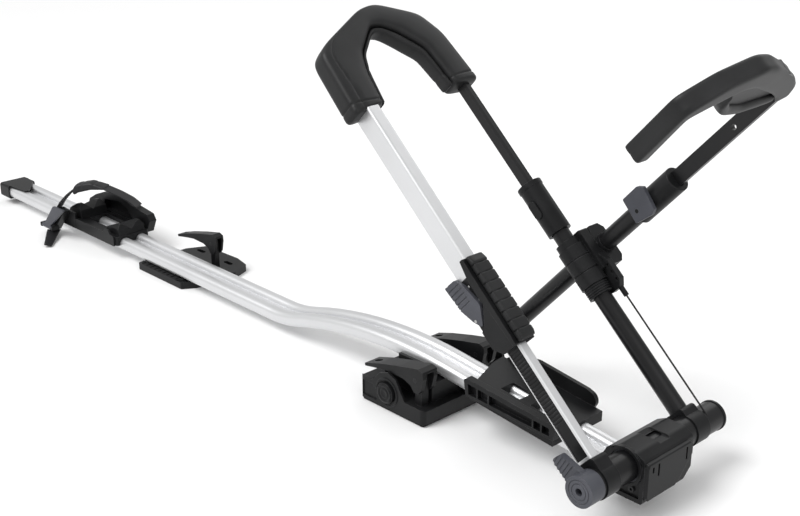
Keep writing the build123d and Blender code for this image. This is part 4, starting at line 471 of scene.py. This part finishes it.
def lipRelief(at, far, x, y):
    # narrower near its middle, fuller towards the far end, with a short seam near each end
    form, share = lipForm, at / far
    swell = dip(share, form["bulgePlace"], form["bulgeBreadth"])
    waist = form["waist"] * dip(share, form["waistPlace"], form["waistBreadth"])
    bulge = form["bulge"] * (swell - waist) * (1 if x < 0 else 0)
    seam = sum(dip(share, place, form["seamWidth"]) for place in form["seams"])
    return bulge - form["seamDepth"] * seam - form["inset"]


cushion = sweep("primaryPad",
                between(padForm["outer"], padForm["inner"], onPad, legOff * padForm["halfHeight"]),
                padForm, padRelief)
dress(cushion, "hoop_top", "soft_black", "primary_pad")
innerLip = sweep("padLip",
                 between(padForm["inner"], lipForm["inner"], onPad, legOff * lipForm["halfHeight"]),
                 lipForm, lipRelief)
dress(innerLip, "hoop_top", "soft_black", "pad_lip")
print("pad and lip on")

# ---- the hook's soft casing, its recessed web and its thumb pad
hookForm = {"outer": [(573.5, -99), (664.5, -102), (697.5, -60), (712.5, -7), (706.5, 21), (671.5, 97),
                      (650.5, 126), (628.5, 136)],
            "inner": [(574.5, -76), (648.5, -85), (659, -61), (677, -22), (674, 10), (645, 78), (632, 102),
                      (620, 116)],
            "halfHeight": 12.3, "step": 2.4, "softening": 12, "squareness": 5.2, "endRound": 3.5, "sides": 56,
            "inset": 0.3 * mm, "partingDepth": 0.6 * mm, "partingWidth": 0.05}
webForm = {"outer": [(672, -66), (700, -7), (694, 18), (660, 92), (640, 120), (624, 128)],
           "inner": [(664, -54), (670, -30), (640, -8), (622, 24), (622, 90), (622, 112)],
           "halfHeight": 4.5, "step": 3, "softening": 8, "squareness": 5.0, "endRound": 2, "sides": 40}
thumbForm = {"run": [(668, -24, 5), (650, -14, 8), (632, 6, 9), (624, 40, 8), (625, 80, 8), (627, 108, 7)],
             "halfHeight": 10.5, "step": 2.4, "softening": 8, "squareness": 2.5, "endRound": 6, "sides": 40}


def hookRelief(at, far, x, y):
    # a parting line round the middle
    return -hookForm["partingDepth"] * dip(y, 0.0, hookForm["partingWidth"]) - hookForm["inset"]


casing = sweep("hookPad",
               between(hookForm["outer"], hookForm["inner"], onHook, armOff * hookForm["halfHeight"]),
               hookForm, hookRelief)
dress(casing, "hook", "soft_black", "hook_pad")
web = sweep("hookWeb", between(webForm["outer"], webForm["inner"], onHook, armOff * webForm["halfHeight"]),
            webForm)
dress(web, "hook", "soft_black")
thumbRun = [[onHook(u, y), armUp * half * mm, armOff * thumbForm["halfHeight"] * mm]
            for u, y, half in thumbForm["run"]]
dress(sweep("hookThumbPad", thumbRun, thumbForm), "hook", "soft_black")

# ---- the grip: a row of soft ribs
gripForm = {"top": [(184, 28.2), (190, 31.2), (296, 29.3), (306, 25.4)], "floor": 20.1,
            "nearY": -109, "farY": -83, "ribs": 9, "depth": 1.7 * mm, "grooveWidth": 0.055,
            "groovesAbove": -0.6, "step": 0.35, "softening": 3, "squareness": 4.6, "endRound": 2.2,
            "sides": 48}


def gripRelief(at, far, x, y):
    share = at / far * gripForm["ribs"]
    groove = dip(share - round(share), 0.0, gripForm["grooveWidth"])
    return -gripForm["depth"] * groove * (1 if y > gripForm["groovesAbove"] else 0)


gripRun = [[onLeg(s, (gripForm["nearY"] + gripForm["farY"]) / 2, (n + gripForm["floor"]) / 2),
            across * (gripForm["farY"] - gripForm["nearY"]) / 2 * mm,
            legOff * (n - gripForm["floor"]) / 2 * mm] for s, n in gripForm["top"]]
grip = sweep("handleGrip", gripRun, gripForm, gripRelief)
dress(grip, "hoop_top", "soft_black", "handle_grip")
print("hook and grip on")

# ---- the wheel strap: a smooth band, a bulging pad, the ribbed ladder and its tail
strapSize = {"halfWidth": 12.5, "halfThickness": 1.3, "rimRise": 0.35 * mm, "rimFrom": 0.86,
             "inset": 0.25 * mm}
bandForm = {"run": [(13, 75.5), (28, 87), (51, 97.2), (77, 106)], "step": 1.6, "softening": 8,
            "squareness": 7.0, "endRound": 0.8, "sides": 48}
strapPadForm = {"top": [(76, 109.5), (105, 117), (136, 110), (142, 99.5)],
                "foot": [(76, 104), (105, 101), (136, 92), (139, 88.5)], "halfWidth": 13.5,
                "grooves": (0.3, 0.7), "grooveDepth": 0.9 * mm, "grooveWidth": 0.03, "step": 1.2,
                "softening": 10, "squareness": 3.2, "endRound": 2.6, "sides": 44}
ladderForm = {"run": [(141, 99), (155, 88), (170, 72), (179, 58)], "step": 1.6, "softening": 6,
              "squareness": 7.0, "endRound": 0.8, "sides": 40}
teethForm = {"rise": 1.1, "Count": 13, "Rib radius": 0.9 * mm, "Rib length": 20 * mm, "facets": 14}
tailForm = {"run": [(-20, 8.8), (0, 8.6), (20, 6.8), (38, 4.9), (56, 4.4)], "twist": -14, "narrowing": 0.45,
            "step": 1.6, "softening": 4, "squareness": 6.0, "endRound": 0.8, "sides": 36}


def ribbon(points, place, side):
    corners = []
    for k, point in enumerate(points):
        before, after = points[max(0, k - 1)], points[min(len(points) - 1, k + 1)]
        run = (place(*after) - place(*before)).normalized()
        corners.append([place(*point), side * strapSize["halfWidth"] * mm,
                        run.cross(side).normalized() * strapSize["halfThickness"] * mm])
    return corners


def bandRelief(at, far, x, y):
    # raised rims along both edges
    return (strapSize["rimRise"] if abs(x) > strapSize["rimFrom"] else 0.0) - strapSize["inset"]


def padRibs(at, far, x, y):
    # two grooves across the upper face
    grooves = sum(dip(at / far, groove, strapPadForm["grooveWidth"]) for groove in strapPadForm["grooves"])
    return -strapPadForm["grooveDepth"] * grooves * (1 if y > 0 else 0)


band = sweep("strapBand", ribbon(bandForm["run"], onStrap, strapSide), bandForm, bandRelief)
dress(band, "rear_cradle", "strap_plastic", "strap_band")
padRun = [[(onStrap(*top) + onStrap(*foot)) / 2, strapSide * strapPadForm["halfWidth"] * mm,
           (onStrap(*top) - onStrap(*foot)) / 2]
          for top, foot in zip(strapPadForm["top"], strapPadForm["foot"])]
strapPad = dress(sweep("strapPad", padRun, strapPadForm, padRibs), "rear_cradle", "soft_black", "strap_pad",
                 finish="strap_plastic")


def ribTree(material):
    # round ribs laid across a path of edges
    tree = bpy.data.node_groups.new("ribsAlong", "GeometryNodeTree")
    for title, kind in (("Path", "Geometry"), ("Count", "Int"), ("Rib radius", "Float"),
                        ("Rib length", "Float"), ("Turn", "Vector")):
        tree.interface.new_socket(name=title, in_out="INPUT", socket_type="NodeSocket" + kind)
    tree.interface.new_socket(name="Ribs", in_out="OUTPUT", socket_type="NodeSocketGeometry")
    given, curve, points, rod, place, real, paint, result = [tree.nodes.new(kind) for kind in (
        "NodeGroupInput", "GeometryNodeMeshToCurve", "GeometryNodeCurveToPoints",
        "GeometryNodeMeshCylinder", "GeometryNodeInstanceOnPoints", "GeometryNodeRealizeInstances",
        "GeometryNodeSetMaterial", "NodeGroupOutput")]
    rod.inputs["Vertices"].default_value = teethForm["facets"]
    paint.inputs["Material"].default_value = material
    for source, output, target, socket in (
            (given, "Path", curve, 0), (curve, 0, points, "Curve"), (given, "Count", points, "Count"),
            (given, "Rib radius", rod, "Radius"), (given, "Rib length", rod, "Depth"),
            (points, "Points", place, "Points"), (rod, "Mesh", place, "Instance"),
            (given, "Turn", place, "Rotation"), (place, "Instances", real, 0),
            (real, 0, paint, "Geometry"), (paint, 0, result, 0)):
        tree.links.new(source.outputs[output], target.inputs[socket])
    return tree


def ribbed(name, path, sizes, direction):
    # lays the ribs and leaves a plain mesh
    mesh = bpy.data.meshes.new(name)
    mesh.from_pydata([tuple(p) for p in path], [(k, k + 1) for k in range(len(path) - 1)], [])
    host = link(name, mesh)
    change = host.modifiers.new("ribs", "NODES")
    change.node_group = ribTree(finishes["strap_plastic"])
    given = {**sizes, "Turn": tuple(Vector(direction).to_track_quat("Z", "Y").to_euler())}
    for item in change.node_group.interface.items_tree:
        if item.name in given:
            change[item.identifier] = given[item.name]
    plain = bpy.data.meshes.new_from_object(host.evaluated_get(bpy.context.evaluated_depsgraph_get()))
    host.modifiers.clear()
    host.data = plain
    return host


ladderRun = ribbon(ladderForm["run"], onStrap, strapSide)
dress(sweep("strapLadder", ladderRun, ladderForm, bandRelief), "rear_cradle", "strap_plastic", "strap_ladder")
ladderPath = [row[0] + row[2].normalized() * teethForm["rise"] * mm for row in ladderRun]
dress(ribbed("strapTeeth", ladderPath, teethForm, strapSide), "rear_cradle", "strap_plastic")

tailRun = ribbon(tailForm["run"], onTail, tailSide)
for k, row in enumerate(tailRun):
    # it narrows and twists a little towards the tip
    share = k / (len(tailRun) - 1)
    turn = Matrix.Rotation(radians(tailForm["twist"]) * share, 3, tailAway)
    row[1], row[2] = (turn @ row[1]) * (1 - tailForm["narrowing"] * share), turn @ row[2]
dress(sweep("strapTail", tailRun, tailForm, bandRelief), "rear_cradle", "strap_plastic")
print("strap on")


# ---- small turned details: a profile of (radius, height) pairs in millimetres spun about an axis
def turned(name, place, axis, profile, sides):
    first = axis.orthogonal().normalized()
    second = axis.cross(first)
    angles = [fullTurn * k / sides for k in range(sides)]
    spokes = [first * cos(angle) + second * sin(angle) for angle in angles]
    return skin(name, [[place + axis * height * mm + spoke * radius * mm for spoke in spokes]
                       for radius, height in profile])


# ---- the ratchet's side plate with its two rivets, seen between the lever and the handle's rim
plateForm = {"run": [(244, 3.5, 4), (256, 1.5, 7), (272, -1.5, 8.5), (288, -4, 7)], "faceY": -106.5,
             "thickness": 0.5, "sunk": 0.05, "step": 2, "softening": 3, "squareness": 6.0, "endRound": 0.25,
             "sides": 28, "rivets": [(277, -2.5), (256, 1.5)], "rivetSides": 28,
             "rivet": [(1.9, -0.2), (1.9, 0.25), (1.5, 0.55), (0.7, 0.7)]}
plateMiddle = plateForm["faceY"] - plateForm["thickness"] / 2 + plateForm["sunk"]
plateRun = [[onLeg(s, plateMiddle, n), legOff * half * mm, across * plateForm["thickness"] / 2 * mm]
            for s, n, half in plateForm["run"]]
dress(sweep("ratchetPlate", plateRun, plateForm), "hoop_top", "black_plastic")
for number, (s, n) in enumerate(plateForm["rivets"], 1):
    rivet = turned("ratchetRivet" + str(number), onLeg(s, plateForm["faceY"] - plateForm["thickness"], n),
                   -across, plateForm["rivet"], plateForm["rivetSides"])
    dress(rivet, "hoop_top", "steel")

# ---- the knob's turned face: an outer ring, a groove and a dished middle, radii as shares of the knob's
knobForm = {"profile": [(0.86, -0.4), (0.86, 0.5), (0.8, 0.9), (0.7, 0.9), (0.64, 0.5), (0.62, 0.1),
                        (0.5, 0.1), (0.48, 0.6), (0.36, 0.8), (0.26, 0.2), (0.1, 0.1)], "sides": 48}
knobLow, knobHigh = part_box("front_foot_knob")
knobFace = Vector(((knobLow[0] + knobHigh[0]) / 2, knobLow[1], (knobLow[2] + knobHigh[2]) / 2))
knobRadius = (knobHigh[2] - knobLow[2]) / 2 / mm
knobRing = turned("knobFace", knobFace, -across,
                  [(share * knobRadius, height) for share, height in knobForm["profile"]], knobForm["sides"])
dress(knobRing, "front_foot_knob", "black_plastic")
print("turned details on")


# ---- floor and backdrop
def addFloor():
    r = Recipe("floorWhite")
    level, half = studio["floorColour"], studio["floorSize"] / 2
    r.finish(Base_Color=(level, level, level, 1), Roughness=studio["floorRoughness"])
    rays = r.add("ShaderNodeLightPath", {}, {})
    seen = r.add("ShaderNodeMath", {"operation": "MAXIMUM"}, {0: rays.out("Is Glossy Ray"),
                                                              1: rays.out("Is Transmission Ray")})
    shader = r.nodes.new("ShaderNodeMixShader")
    white = r.nodes.new("ShaderNodeEmission")
    white.inputs[0].default_value = (1, 1, 1, 1)
    white.inputs[1].default_value = studio["mirroredLevel"]
    r.feed(shader.inputs[0], seen * studio["mirroredShare"])
    r.links.new(r.shader.outputs[0], shader.inputs[1])
    r.links.new(white.outputs[0], shader.inputs[2])
    r.links.new(shader.outputs[0], r.output.inputs[0])
    mesh = bpy.data.meshes.new("floor")
    mesh.from_pydata([(-half, -half, 0), (half, -half, 0), (half, half, 0), (-half, half, 0)], [],
                     [(0, 1, 2, 3)])
    mesh.materials.append(r.material)
    link("floor", mesh)


def addWorld():
    world = bpy.data.worlds.new("studio")
    scene.world = world
    world.use_nodes = True
    tree = world.node_tree
    tree.nodes.clear()
    paths = tree.nodes.new("ShaderNodeLightPath")
    isSeen = tree.nodes.new("ShaderNodeMath")
    isSeen.operation = "MAXIMUM"
    tree.links.new(paths.outputs["Is Camera Ray"], isSeen.inputs[0])
    tree.links.new(paths.outputs["Is Transmission Ray"], isSeen.inputs[1])
    level = tree.nodes.new("ShaderNodeMapRange")
    level.inputs["To Min"].default_value = studio["worldLevel"]
    level.inputs["To Max"].default_value = studio["worldSeen"]
    tree.links.new(isSeen.outputs[0], level.inputs["Value"])
    back = tree.nodes.new("ShaderNodeBackground")
    back.inputs[0].default_value = (1, 1, 1, 1)
    tree.links.new(level.outputs[0], back.inputs[1])
    output = tree.nodes.new("ShaderNodeOutputWorld")
    tree.links.new(back.outputs[0], output.inputs[0])


addFloor()
addWorld()
print("studio ready")
